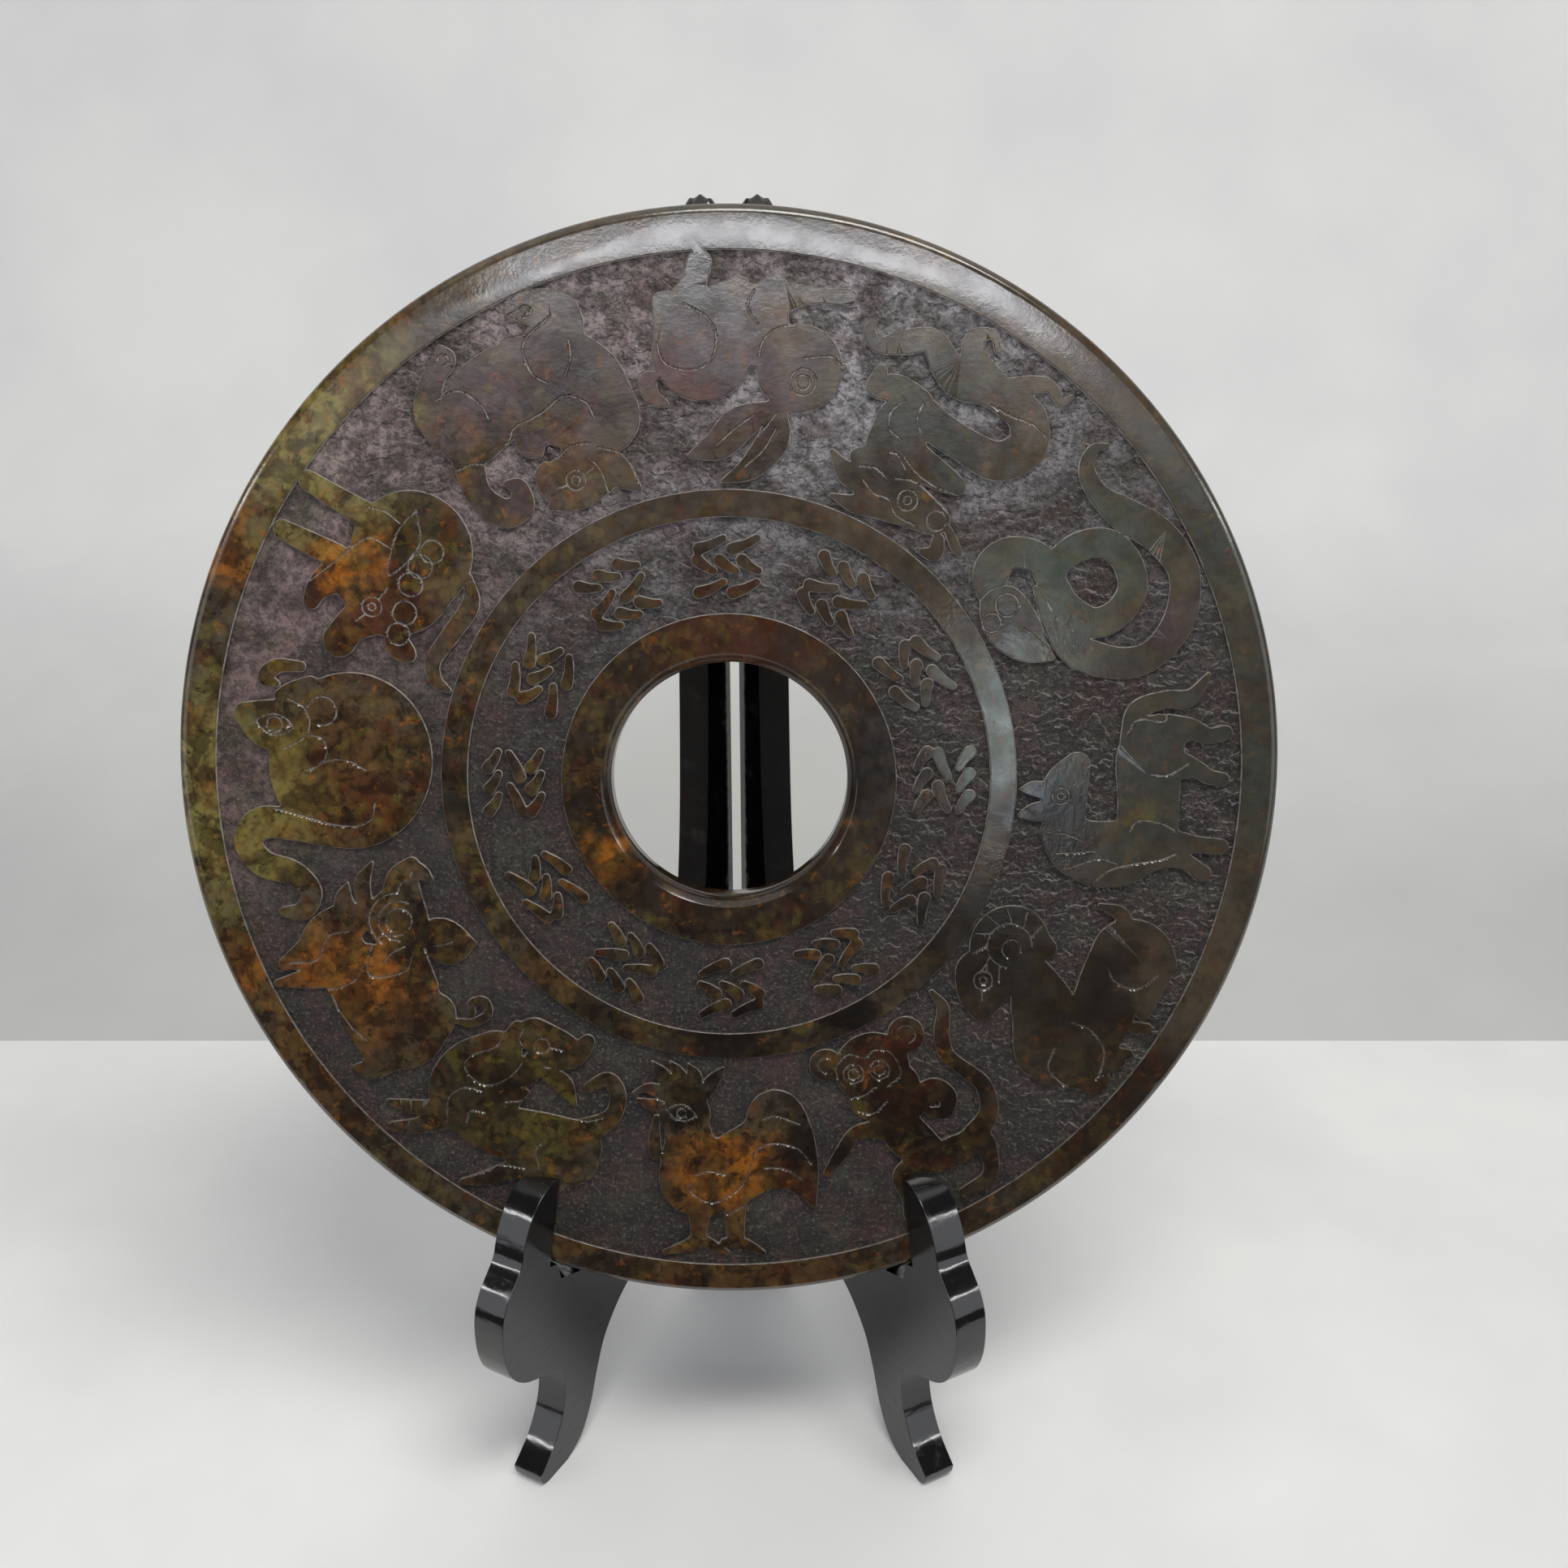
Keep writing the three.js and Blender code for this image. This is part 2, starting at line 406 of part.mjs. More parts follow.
// The leaf's outline: distance from its back edge, height above the table. Smooth runs between corners.
function leafOutline() {
  const runs = [
    { name: 'back edge', points: [[0, 0], [0, 350]] },
    { name: 'finial', points: [[0, 350], [1.4, 355.4], [4.4, 357.6], [7.2, 355]] },
    { name: 'finial lobe', points: [[7.2, 355], [9.6, 354.6], [11.2, 351.6]] },
    { name: 'shoulder', points: [[11.2, 351.6], [12.6, 349], [12, 344]] },
    { name: 'spine', points: [[12, 344], [12.6, 290], [13.6, 214], [16.8, 160], [24, 124], [40, 102],
      [62, 96]] },
    { name: 'slot back', points: [[62, 96], [74, 97.6], [83, 101]] },
    { name: 'hook', points: [[83, 101], [94, 98.8], [101, 99.6], [106.6, 98], [110.8, 94.8], [114, 90.4],
      [116, 86], [117.6, 81.8], [120.6, 78.6]] },
    { name: 'lobe', points: [[120.6, 78.6], [124.4, 74.6], [127, 69.4], [127.8, 63], [127.2, 55],
      [124.4, 48], [119, 42.6], [110, 38.2], [102.4, 34.6]] },
    { name: 'front leg', points: [[102.4, 34.6], [101.6, 27], [103.6, 18.6], [108.6, 10.6], [116, 4.4]] },
    { name: 'toe', points: [[116, 4.4], [115, 1.2], [112.4, 0]] },
    { name: 'front sole', points: [[112.4, 0], [103, 0]] },
    { name: 'arch', points: [[103, 0], [95.6, 3.4], [90, 11], [85.4, 22], [79.6, 32], [68, 41], [52, 45],
      [36, 41], [24, 32], [17, 18], [15, 0]] },
    { name: 'back sole', points: [[15, 0], [0, 0]] },
  ];
  return runs.flatMap(({ points }) => {
    if (points.length === 2) return [new THREE.Vector2(...points[0])];
    const curve = new THREE.SplineCurve(points.map((p) => new THREE.Vector2(...p)));
    return curve.getPoints((points.length - 1) * 2).slice(0, -1);
  });
}

// Places something drawn in the leaf's own plane (back edge to front, up, thickness) on one side.
function leafPose(side) {
  const along = new THREE.Vector3(side * Math.sin(SPREAD), -Math.cos(SPREAD), 0);
  const up = new THREE.Vector3(0, 0, 1);
  const across = new THREE.Vector3().crossVectors(along, up);
  return new THREE.Matrix4().makeBasis(along, up, across).setPosition(side * leaf.backGap / 2, 0, 0);
}

function standLeaf(side) {
  const [low, high] = side < 0 ? [0, leaf.thickness] : [-leaf.thickness, 0];
  const board = block(leafOutline(), low, high).transform(leafPose(side).elements);
  const pocket = [[103, 76], [100.4, 66], [91.6, 62.4], [88.6, 72]].map((p) => new THREE.Vector2(...p));
  const under = block(pocket.reverse(), low - 1, high + 1).transform(leafPose(side).elements);
  return board.subtract(discRoom(leaf.slotPlay, FIT_GAP)).subtract(under);
}

// ---- The hinges ---------------------------------------------------------------------------------

// The pin stands just behind the two inner back corners, one barrel radius off both back edges.
const pinBehind = (hinge.barrel + FIT_GAP - leaf.backGap / 2 * Math.sin(SPREAD)) / Math.cos(SPREAD);

function barrel(low, high) {
  const wall = [[0, low], [hinge.barrel, low], [hinge.barrel, high], [0, high]];
  const core = [[0, low - 1], [hinge.pin + 0.3, low - 1], [hinge.pin + 0.3, high + 1], [0, high + 1]];
  return { wall: turned(wall, hinge.barrelSides), core: turned(core, hinge.barrelSides) };
}

// A plate on a leaf's back edge with its share of the barrels; heights are spans along the pin.
function hingePlate(side, middle, spans) {
  const low = middle - hinge.length / 2;
  const outline = [[-FIT_GAP - hinge.plateThickness, low], [-FIT_GAP, low],
    [-FIT_GAP, low + hinge.length], [-FIT_GAP - hinge.plateThickness, low + hinge.length]];
  const [near, far] = side < 0 ? [0.6, hinge.plateWidth] : [-hinge.plateWidth, -0.6];
  let plate = block(outline.map((p) => new THREE.Vector2(...p)), near, far)
    .transform(leafPose(side).elements);
  const clear = hinge.barrel + 0.3;
  const gaps = spans.others.map(([a, b]) => turned(
    [[0, low + a - 0.3], [clear, low + a - 0.3], [clear, low + b + 0.3], [0, low + b + 0.3]],
    hinge.barrelSides).translate([0, pinBehind, 0]));
  const barrels = spans.own.map(([a, b]) => barrel(low + a, low + b));
  plate = plate.subtract(join(gaps)).add(join(barrels.map((b) => b.wall)).translate([0, pinBehind, 0]));
  return plate.subtract(join(barrels.map((b) => b.core)).translate([0, pinBehind, 0]));
}

function hingePin(middle) {
  const half = hinge.length / 2;
  const cap = hinge.barrel * 0.8;
  const profile = [[0, middle - half - 1.3], [cap, middle - half - 1.3], [cap, middle - half - FIT_GAP],
    [hinge.pin, middle - half - FIT_GAP], [hinge.pin, middle + half + FIT_GAP],
    [cap, middle + half + FIT_GAP], [cap, middle + half + 1.3], [0, middle + half + 1.3]];
  return turned(profile, hinge.pinSides).translate([0, pinBehind, 0]);
}

// ---- Assembly -----------------------------------------------------------------------------------

const stone = new THREE.MeshStandardMaterial({ color: 0x4a463c, roughness: 0.38, metalness: 0 });
const lacquer = new THREE.MeshStandardMaterial({ color: 0x17161a, roughness: 0.22, metalness: 0 });
const brass = new THREE.MeshStandardMaterial({ color: 0xa98543, roughness: 0.35, metalness: 1 });

const part = new THREE.Group();

function addPiece(name, solid, material) {
  const mesh = new THREE.Mesh(toGeometry(solid), material);
  mesh.name = name;
  part.add(mesh);
  return mesh;
}

addPiece('bi_disc', carvedDisc(), stone).applyMatrix4(discPose);
addPiece('stand_leaf_left', standLeaf(-1), lacquer);
addPiece('stand_leaf_right', standLeaf(1), lacquer);

const third = hinge.length / 3;
const outerSpans = [[0, third - 0.2], [2 * third + 0.2, hinge.length]];
const middleSpan = [[third + 0.2, 2 * third - 0.2]];
hinge.heights.forEach((middle, i) => {
  const place = i === 0 ? 'lower' : 'upper';
  const left = { own: outerSpans, others: middleSpan };
  const right = { own: middleSpan, others: outerSpans };
  addPiece(`hinge_${place}_plate_left`, hingePlate(-1, middle, left), brass);
  addPiece(`hinge_${place}_plate_right`, hingePlate(1, middle, right), brass);
  addPiece(`hinge_${place}_pin`, hingePin(middle), brass);
});

// The origin is the middle of the whole piece's footprint, on the table.
part.updateMatrixWorld(true);
const extent = new THREE.Box3().setFromObject(part);
const middle = extent.getCenter(new THREE.Vector3());
part.position.set(-middle.x, -middle.y, -extent.min.z);

export default part;
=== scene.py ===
"""A carved jade bi disc with the twelve zodiac animals, on its folding stand of black lacquered wood.

Sizes are in millimetres in the script, and metres in Blender. The disc is worked out in its own plane:
x to the right, y up the face, z out of it, with the middle of the polished face at the origin.
"""

import math
from collections import namedtuple
from functools import partial

import bmesh
import bpy
import numpy as np
from mathutils import Matrix, Vector


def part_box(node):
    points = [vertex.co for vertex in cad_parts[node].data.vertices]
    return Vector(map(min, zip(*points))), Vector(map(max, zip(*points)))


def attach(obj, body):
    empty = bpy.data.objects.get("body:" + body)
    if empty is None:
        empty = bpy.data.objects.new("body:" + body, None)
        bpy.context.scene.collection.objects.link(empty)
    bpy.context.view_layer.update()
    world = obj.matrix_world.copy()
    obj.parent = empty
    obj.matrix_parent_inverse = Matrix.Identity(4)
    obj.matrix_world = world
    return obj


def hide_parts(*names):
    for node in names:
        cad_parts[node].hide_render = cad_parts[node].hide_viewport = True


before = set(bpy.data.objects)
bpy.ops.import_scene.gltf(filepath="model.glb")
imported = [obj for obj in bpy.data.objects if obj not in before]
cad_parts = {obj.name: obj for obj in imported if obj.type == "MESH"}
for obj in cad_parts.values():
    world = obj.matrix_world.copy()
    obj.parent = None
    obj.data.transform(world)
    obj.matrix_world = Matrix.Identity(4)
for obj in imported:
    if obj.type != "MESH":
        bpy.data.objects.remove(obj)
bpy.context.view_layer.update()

MM = 0.001

# ---- Driving sizes ------------------------------------------------------------------------------

LEAN = math.radians(13.3)        # the disc leans back from upright
SPREAD = math.radians(28.6)      # each leaf of the stand swings out from straight ahead

RADIUS = 150.0
THICKNESS = 12.0
EDGE = 2.8                       # rounding of the outer edge
OUTLINE_LIFT = 1.5               # the carved field sits this much low in the outline
RELIEF = 1.2                     # depth of the sunk ground below the polished face
RIM_INNER = 139.9
MID_RING = (71.5, 78.2)
INNER_RING = 45.4
BORE = 32.5
BORE_CHAMFER = 2.5
BAND = 109.0                     # radius on which the middle of every figure lies
MARKS_BAND = 58.4                # radius on which the middle of every mark group lies
PLACES = 12
DISC_HEIGHT = 209.0              # of the middle of the face, above the table
DISC_BEHIND = -59.0              # of the middle of the face, from the back edge of the stand

WALL = 0.55                      # a carved edge drops to the ground over this width
GROOVE_HALF = 0.4
GROOVE_DEPTH = 0.5

LEAF_THICKNESS = 10.0
BACK_GAP = 2.6                   # between the inner faces of the leaves, at the back
SLOT_PLAY = 1.3                  # air on each side of the disc in its slot
FIT_GAP = 0.35
HINGE_HEIGHTS = (96.0, 272.0)
HINGE_LENGTH = 30.0
HINGE_PLATE = (8.6, 1.2)         # width and thickness
BARREL = 2.3
PIN = 1.1
PIN_BUTTON = BARREL * 0.78       # radius of the button at each end of the pin
SCREW_SPOTS = (-9.6, 9.6)        # along a plate, from its middle
HAND = {-1: "left", 1: "right"}  # names of the two sides

# Places in the frame, from the CAD's own boxes.
pin_low, pin_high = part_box("hinge_lower_pin")
PIN_BEHIND = (BARREL + FIT_GAP - BACK_GAP / 2 * math.sin(SPREAD)) / math.cos(SPREAD)
BACK_EDGE_Y = (pin_low.y + pin_high.y) / 2 - PIN_BEHIND * MM

PIN_POSE = Matrix.Translation((0, BACK_EDGE_Y, 0)) @ Matrix.Scale(MM, 4)
DISC_POSE = (Matrix.Translation((0, BACK_EDGE_Y + DISC_BEHIND * MM, DISC_HEIGHT * MM))
             @ Matrix.Rotation(math.pi / 2 - LEAN, 4, "X") @ Matrix.Scale(MM, 4))

# ---- Figures: what they are drawn with ----------------------------------------------------------

Shape = namedtuple("Shape", "rows box")      # rows: x, y, half width along a chain
Oval = namedtuple("Oval", "x y along across turn box")
Figure = namedtuple("Figure", "shapes hollows grooves", defaults=([], []))

SPAN_STEPS = 6                               # straight pieces to a curved span
THINNEST_TIP = 0.12                          # half width at which a limb still has a tip


def smooth_line(points, steps, ends="run on"):
    """A Catmull-Rom line through rows of numbers, with that many steps a span."""
    p = np.array(points, float)
    if ends == "run on":
        p = np.vstack([2 * p[0] - p[1], p, 2 * p[-1] - p[-2]])
    else:
        p = np.vstack([p[0], p, p[-1]])
    t = (np.arange(steps) / steps)[:, None]
    spans = []
    for a, b, c, d in zip(p, p[1:], p[2:], p[3:]):
        bend = (2 * a - 5 * b + 4 * c - d) * t**2 + (3 * b - a - 3 * c + d) * t**3
        spans.append(0.5 * (2 * b + (c - a) * t + bend))
    return np.vstack([*spans, p[-2:-1]])


def limb(*stations):
    """A smooth limb through (x, y, half width) stations."""
    rows = smooth_line(stations, SPAN_STEPS if len(stations) > 2 else 1)
    rows[:, 2] = np.maximum(rows[:, 2], THINNEST_TIP)
    reach = rows[:, 2:3]
    return Shape(rows, (*(rows[:, :2] - reach).min(0), *(rows[:, :2] + reach).max(0)))


def oval(x, y, along, across, turn=0.0):
    """An oval: middle, half length, half width, turn in degrees."""
    reach = max(along, across)
    return Oval(x, y, along, across, math.radians(turn), (x - reach, y - reach, x + reach, y + reach))


def cut_line(rows):
    """A groove cut along rows of (x, y)."""
    return Shape(rows, (*rows.min(0), *rows.max(0)))


def stroke(*points):
    """A groove cut along a smooth line through (x, y) points."""
    return cut_line(smooth_line(points, SPAN_STEPS if len(points) > 2 else 1))


def circle(x, y, radius, start=0, end=360):
    """A groove cut along a circle, or along its arc between two angles in degrees."""
    angles = np.radians(np.linspace(start, end, 25))
    return cut_line(np.stack([x + radius * np.cos(angles), y + radius * np.sin(angles)], 1))


def rings(x, y, *radii):
    """Circles about one middle."""
    return [circle(x, y, radius) for radius in radii]


def almond(x, y, half, rise, turn=0.0):
    """A pointed eye: two grooves that meet at its corners, each a shallow arc."""
    t = np.linspace(-1, 1, 9)
    c, s = math.cos(math.radians(turn)), math.sin(math.radians(turn))
    spin = np.array([[c, s], [-s, c]])
    lids = [np.stack([half * t, side * rise * (1 - t**2)], 1) for side in (1, -1)]
    return [cut_line(lid @ spin + (x, y)) for lid in lids]


# ---- The twelve figures, clockwise from the bottom of the disc ----------------------------------
# Each stands upright in its own frame with its feet to the rim. x runs across, y towards the middle.

ROOSTER = Figure(
    shapes=[
        oval(-13, 14.2, 7, 7),  # head
        limb((-18, 20, 2.2), (-23, 21.8, 1.3), (-27.4, 20.4, 0.2)),  # beak
        limb((-18.5, 16.6, 1.6), (-22.5, 17, 1.5), (-26, 18.6, 0.2)),  # lower beak
        limb((-15, 20.5, 1), (-18.8, 25.4, 1.9), (-21.9, 29.6, 0.1)),  # comb 1
        limb((-12, 20.5, 1), (-14.2, 25.6, 1.7), (-16.8, 29.6, 0.1)),  # comb 2
        limb((-9.5, 20, 1), (-10, 25.2, 1.7), (-11.8, 28.8, 0.1)),  # comb 3
        limb((-8, 18.6, 1), (-5.4, 23.4, 1.9), (-2, 27.8, 0.1)),  # comb 4
        limb((-21, 13.4, 0.5), (-21.6, 6.5, 1.5), (-21.2, 2.4, 1.5)),  # wattle
        limb((-12, 8, 6.4), (-11, 1, 8.6)),  # neck
        oval(-8.6, -4.2, 11.6, 12),  # breast
        limb((-1, -2, 9), (8, 8, 5.6), (12.6, 14.6, 6.6), (18, 8, 5), (21.6, -2, 2.9),  # tail
             (23.6, -13, 0.3)),
        limb((-2, -6, 8.4), (8, -1.5, 7), (16, -2.4, 5.4), (20.6, -7, 3),  # coverts
             (23.6, -13, 0.3)),
        limb((-9, -14, 3), (-9.4, -22, 1.9)),  # left leg
        limb((-19.2, -27, 0.5), (-13, -25.2, 1.5), (-8.6, -23.4, 1.6), (-1.2, -27, 0.5)),  # left foot
        limb((1, -12, 3), (1.2, -22, 2.2)),  # right leg
        limb((-2, -24, 1), (3.4, -24.4, 1.5), (9, -27, 0.5)),  # right foot
    ],
    grooves=[
        circle(-13.8, 14.7, 1.3),
        *almond(-13.8, 14.8, 4.2, 2.4, -14),
        stroke((8.7, 12.6), (12.8, 13.7), (19.5, 11.3)),
        stroke((-11.3, -6.2), (-10.5, -9.5), (-4.7, -12), (2, -7.8), (5.3, -2), (7.4, 3.8),
               (12, 5.7), (18.7, 4.2), (22.8, -0.3)),
        stroke((9.5, -1.6), (15.3, -2), (19.9, -4.9)),
        stroke((-10, -3.7), (-6.3, -2.7), (-1.3, -3.8)),
        stroke((-1.3, -15.5), (5, -12.5)),
        stroke((-27, 19.6), (-22, 19.4), (-18.4, 17.8)),
    ],
)

DOG = Figure(
    shapes=[
        limb((-11.5, 19.6, 4.8), (-4, 19.2, 5.4), (1, 20.6, 3.2), (2.2, 25.4, 1.8)),  # head
        oval(-2.4, 17.4, 4.2, 3),  # jaw
        limb((-16.2, 18.6, 2.4), (-16.4, 11.5, 3.4), (-18.4, 5, 5.6)),  # ear
        limb((-18, 9, 7), (-22, 1, 8.6), (-21, -6.5, 8.4), (-9, -9.8, 7.4), (6, -6.5, 8.4),  # back
             (13.6, -4, 8)),
        oval(13.4, -7.6, 9, 8),  # haunch
        limb((-8, 12, 3.2), (-9, 5, 4), (-12, -3, 6)),  # throat
        limb((-6.6, 11, 0.6), (1.4, 11.2, 2.6), (8, 7.4, 0.4)),  # bell
        limb((14, 1, 4), (18.6, 9, 2.3), (17.4, 15.6, 2.1), (12.6, 18.6, 1.9), (9, 14, 1.3)),  # tail
        limb((-23, -13, 3.2), (-30, -15.4, 2), (-37.6, -18, 0.8)),  # front paw
        limb((-22, -15, 2.6), (-28, -20.6, 2), (-33.4, -23.8, 1.2)),  # front leg
        limb((8, -12, 4.4), (1.6, -18.6, 2.6), (-4, -24.6, 1.8), (-8.4, -28.4, 0.8)),  # hind leg
        limb((14, -12, 4), (12, -20, 3), (8, -26, 1.6)),  # hind foot
    ],
    hollows=[
        limb((-6.4, 4.8, 0.4), (-3, 6.4, 1.9), (2, 7, 0.4)),
    ],
    grooves=[
        stroke((-15, 20), (-14.5, 16.5), (-11.2, 13.7), (-11.2, 7.2), (-14.8, 1), (-19.8, -0.3),
               (-24.4, 2.2), (-23.6, 6.3), (-19.8, 10.5), (-19, 13.8), (-19.8, 18)),
        circle(-8.2, 18, 2.1),
        stroke((-6.4, 18.6), (-2.3, 19.7)),
        stroke((-9.4, -1.6), (-3.2, 2.2), (5.2, 3.4), (12.7, 4.7), (16.8, 8)),
        stroke((-16.5, -2), (-21.5, -3.7), (-23.6, -8.7), (-21, -14.5)),
        stroke((-12.7, -7), (-16.5, -8.7), (-16, -12)),
        stroke((5.2, -6.2), (5.2, -10.3), (8.5, -14)),
        stroke((4.8, -16), (-1.9, -18.7), (-4, -22), (-8.6, -27)),
    ],
)

PIG = Figure(
    shapes=[
        limb((-5, -8, 9), (2, -5.6, 12.4), (12, -5, 14)),  # body
        limb((-3, 5, 7), (6, 3, 7.4)),  # shoulder
        oval(15.4, -4, 9, 14.6),  # rump
        oval(-12.4, 10, 8.6, 8.4),  # head
        limb((-14, 13, 6), (-21, 17, 4.2), (-24, 22, 1.6)),  # snout
        limb((-23.6, 21.6, 1.6), (-20.4, 23, 1.8), (-17.4, 24.2, 0.4)),  # snout tip
        limb((-5, 13.4, 2), (-2.6, 18.6, 4.6), (3.8, 25.2, 0.3)),  # ear
        limb((0, 14, 1.6), (3, 18, 3), (4.2, 24.6, 0.3)),  # far ear
        limb((-29.6, 12.6, 0.2), (-26, 7.2, 2), (-19.6, 4.4, 1.8)),  # mane
        limb((-28, 3.6, 0.2), (-24, 0, 2.4), (-17, -0.6, 2.4)),  # mane 2
        limb((-19, -2, 5.4), (-20, -9, 4.4), (-17, -15.6, 4), (-17.4, -23.6, 1.6)),  # foreleg
        oval(-12.6, -9.4, 6, 8),  # chest
        limb((-9, -12, 5), (-10.4, -19, 3), (-13.8, -28.4, 0.8)),  # near leg
        limb((18, -12, 6), (20, -18.6, 3), (17.6, -22.6, 0.6)),  # hind leg
        limb((20.6, 9.4, 0.6), (23, 12.6, 1), (23, 17.6, 1), (19.4, 18.8, 1), (18, 15.6, 0.9),  # tail
             (20.6, 14, 0.7)),
    ],
    grooves=[
        circle(-12, 10.5, 3.5, 20, 300),
        circle(-12, 10.5, 5.6, 120, 330),
        circle(-12.4, 10, 7.6, 150, 300),
        stroke((-8, 9.5), (-10.8, 4), (-9.5, 0), (-3.5, -5), (0, 0), (0.8, 5), (-2, 8.8)),
        stroke((-5, 8), (-5.2, 4), (-4, 0)),
        stroke((0.5, 20), (0, 18), (-1, 15.5)),
        stroke((-22, 21), (-20.6, 19), (-20.6, 16.6), (-19, 14.4)),
        stroke((-6.3, -5), (-3.8, -9), (-4.5, -15), (-7.5, -19.5)),
        stroke((-4, -17), (3, -17.5), (8, -17), (12.5, -15.5)),
        stroke((-16.5, -3), (-18, -9), (-14, -15), (-17, -22)),
    ],
)

RAT = Figure(
    shapes=[
        oval(-5.6, 6, 22, 24, 80),  # body
        limb((-18, 0, 9), (-4, -3, 8.6), (8, 2, 8)),  # belly
        limb((-15.6, -8, 6.6), (-15.6, -15, 6.6), (-18.4, -21.6, 3.2)),  # head
        limb((-26, -4, 2.6), (-25, -9, 2), (-23.6, -12, 1.6)),  # cheek
        limb((-31.4, -6.4, 1.2), (-31.6, -12.6, 1.7), (-28.6, -16, 1.9),  # raised paw
             (-26.8, -13, 0.6)),
        limb((12, 0, 6), (11.6, -11, 4.4), (11.6, -19.4, 4.2), (17, -23, 3.6), (22.8, -19, 3.6),  # tail
             (25.4, -11, 3.2), (30.6, -6.4, 2.8), (36, -8.6, 2.4), (36.4, -14, 1.2)),
    ],
    grooves=[
        circle(-19.4, -1, 3.9, -20, 250),
        stroke((-22.5, -10), (-20.4, -6), (-16, -4.5), (-12, -6.4), (-9, -12)),
        *almond(-15.8, -14, 5.2, 2.9, 79),
        circle(-15.8, -14, 2.1),
        stroke((-12.7, -4.5), (-12, -1.6), (-9.8, -0.3), (-6.5, -0.7), (-4.4, -2.6), (-3.2, -6.2)),
        stroke((-3.2, 10), (-5.7, 5.5), (-5.7, -0.3), (-2.3, -6)),
        stroke((6, 12.2), (10.2, 11.3), (12.3, 7.2), (11.8, 0.5), (9.3, -7.8), (7.3, -15.3)),
    ],
)

OX = Figure(
    shapes=[
        oval(-11.4, 5, 16, 16),  # body
        limb((-8, 14, 6.4), (0, 12, 7), (5, 7, 7)),  # back
        limb((-6, 3, 9), (2, -1, 8)),  # neck
        limb((1, 5, 7.6), (8, 3, 5.8), (14, 0, 4.2), (19, -0.8, 4.2)),  # face
        limb((-1.6, -2, 8), (4, -9.4, 4.6), (9.4, -12.2, 2.9), (13.4, -12.2, 2)),  # jaw
        limb((1, 10.8, 3), (8, 11.8, 3), (12.4, 12.6, 2.4), (15.4, 15.4, 0.5)),  # horn
        limb((11, 13.4, 2), (13, 17, 1.8), (14.6, 16.8, 0.8)),  # horn tip
        limb((-13, 21.4, 0.8), (-7, 25.2, 2.2), (3, 24.4, 2.2), (11, 23.6, 1.9),  # tail
             (15.4, 26.4, 1.6), (16.2, 31, 0.5)),
        limb((-13.4, -4, 4.4), (-14, -14, 3.1), (-14.4, -27.6, 2.4)),  # front leg
        limb((-0.6, -12, 3), (0, -20, 2.8), (0.4, -27.6, 2.4)),  # hind leg
    ],
    grooves=[
        circle(-14.3, 9.7, 3.1),
        circle(-9.3, 8.8, 3.2),
        circle(-3.8, 8.8, 3.2),
        circle(3.7, 11, 3.2),
        circle(9.5, 12.2, 3),
        stroke((-21.8, 1), (-14, 6), (-3, 2.6), (-14, -0.7), (-21.8, 1)),
        *rings(6.6, 2.6, 2.6, 1),
        stroke((4, 3.2), (0, 4)),
        stroke((9.2, 2), (12, 0.7)),
        stroke((-9.7, -0.3), (-8.8, -7), (0.3, -11.2), (8.7, -15)),
        stroke((-16.5, -1), (-17.4, -6), (-16.3, -10)),
    ],
)

TIGER = Figure(
    shapes=[
        limb((-19, 29.2, 0.6), (-16.4, 22.6, 3.6), (-14, 16, 4)),  # ear
        oval(-5.6, 18.4, 9.6, 7.4, -16),  # head
        limb((-11.4, 22, 4), (-4, 22, 4), (3.4, 21.8, 0.8)),  # brow
        limb((-8, 14, 4), (0, 14.6, 3.6)),  # muzzle
        limb((-14, 8, 8), (-8, 4.6, 5), (-1.4, 4.4, 4.6)),  # jaw
        limb((-20, 8, 10), (-20.6, -2, 10), (-15, -8, 11)),  # shoulder
        limb((-17, -7, 11), (-5, -10.6, 10.4), (4, -9.6, 11), (12, -6, 9)),  # body
        limb((16.4, 0, 4), (18.6, 9, 3.3), (15.6, 16.6, 3.6), (10.4, 17.4, 3.2), (8.4, 13, 2),  # tail
             (10.6, 10.8, 0.8)),
        limb((-16, -12, 8), (-23, -19, 6), (-18.6, -24.6, 4.4), (-14, -27, 2.2)),  # hind leg
        limb((18, -9, 4.6), (19, -15.6, 3.6), (14, -21.6, 2.8), (8, -25, 2.6)),  # front leg
        limb((8.6, -24, 2.4), (7.8, -27.6, 1)),  # front toe
    ],
    hollows=[
        oval(-4.9, 10.3, 1.9, 1.5, 30),
        oval(-2.4, 10.2, 1.9, 1.5, -30),
        limb((-5.4, 9.4, 0.9), (-3.7, 7.6, 0.5), (-2, 9.4, 0.9)),
    ],
    grooves=[
        *rings(-5.7, 19, 2.6, 1.1),
        stroke((-8.3, 18.8), (-11.5, 18.5)),
        stroke((-3.1, 18.8), (0, 18.5)),
        stroke((-11.5, 15.5), (-12.6, 20), (-11.5, 26)),
        stroke((-19.5, 28), (-20, 20), (-15, 14.5)),
        stroke((-13.6, 12.4), (-9, 10.8), (-5.6, 11.6)),
        stroke((-18.2, 8), (-18.2, 3), (-14, -1.2), (-6.5, -0.3), (1, -0.7), (4.3, 1.3),
               (11, 4.3), (16, 1.8), (20.2, 1.3)),
        stroke((-12, -6.2), (-9.8, -10.3), (-10.7, -16.2), (-14, -19), (-21.5, -20.3)),
        stroke((-17, -5.3), (-20.7, -8.7), (-22.8, -13.2)),
        stroke((6, -6.2), (6, -10.3), (9.3, -16.2), (16, -17)),
        circle(-16.5, -24.5, 1.5, 40, 300),
        circle(8.5, -24.8, 1.4, 60, 320),
    ],
)

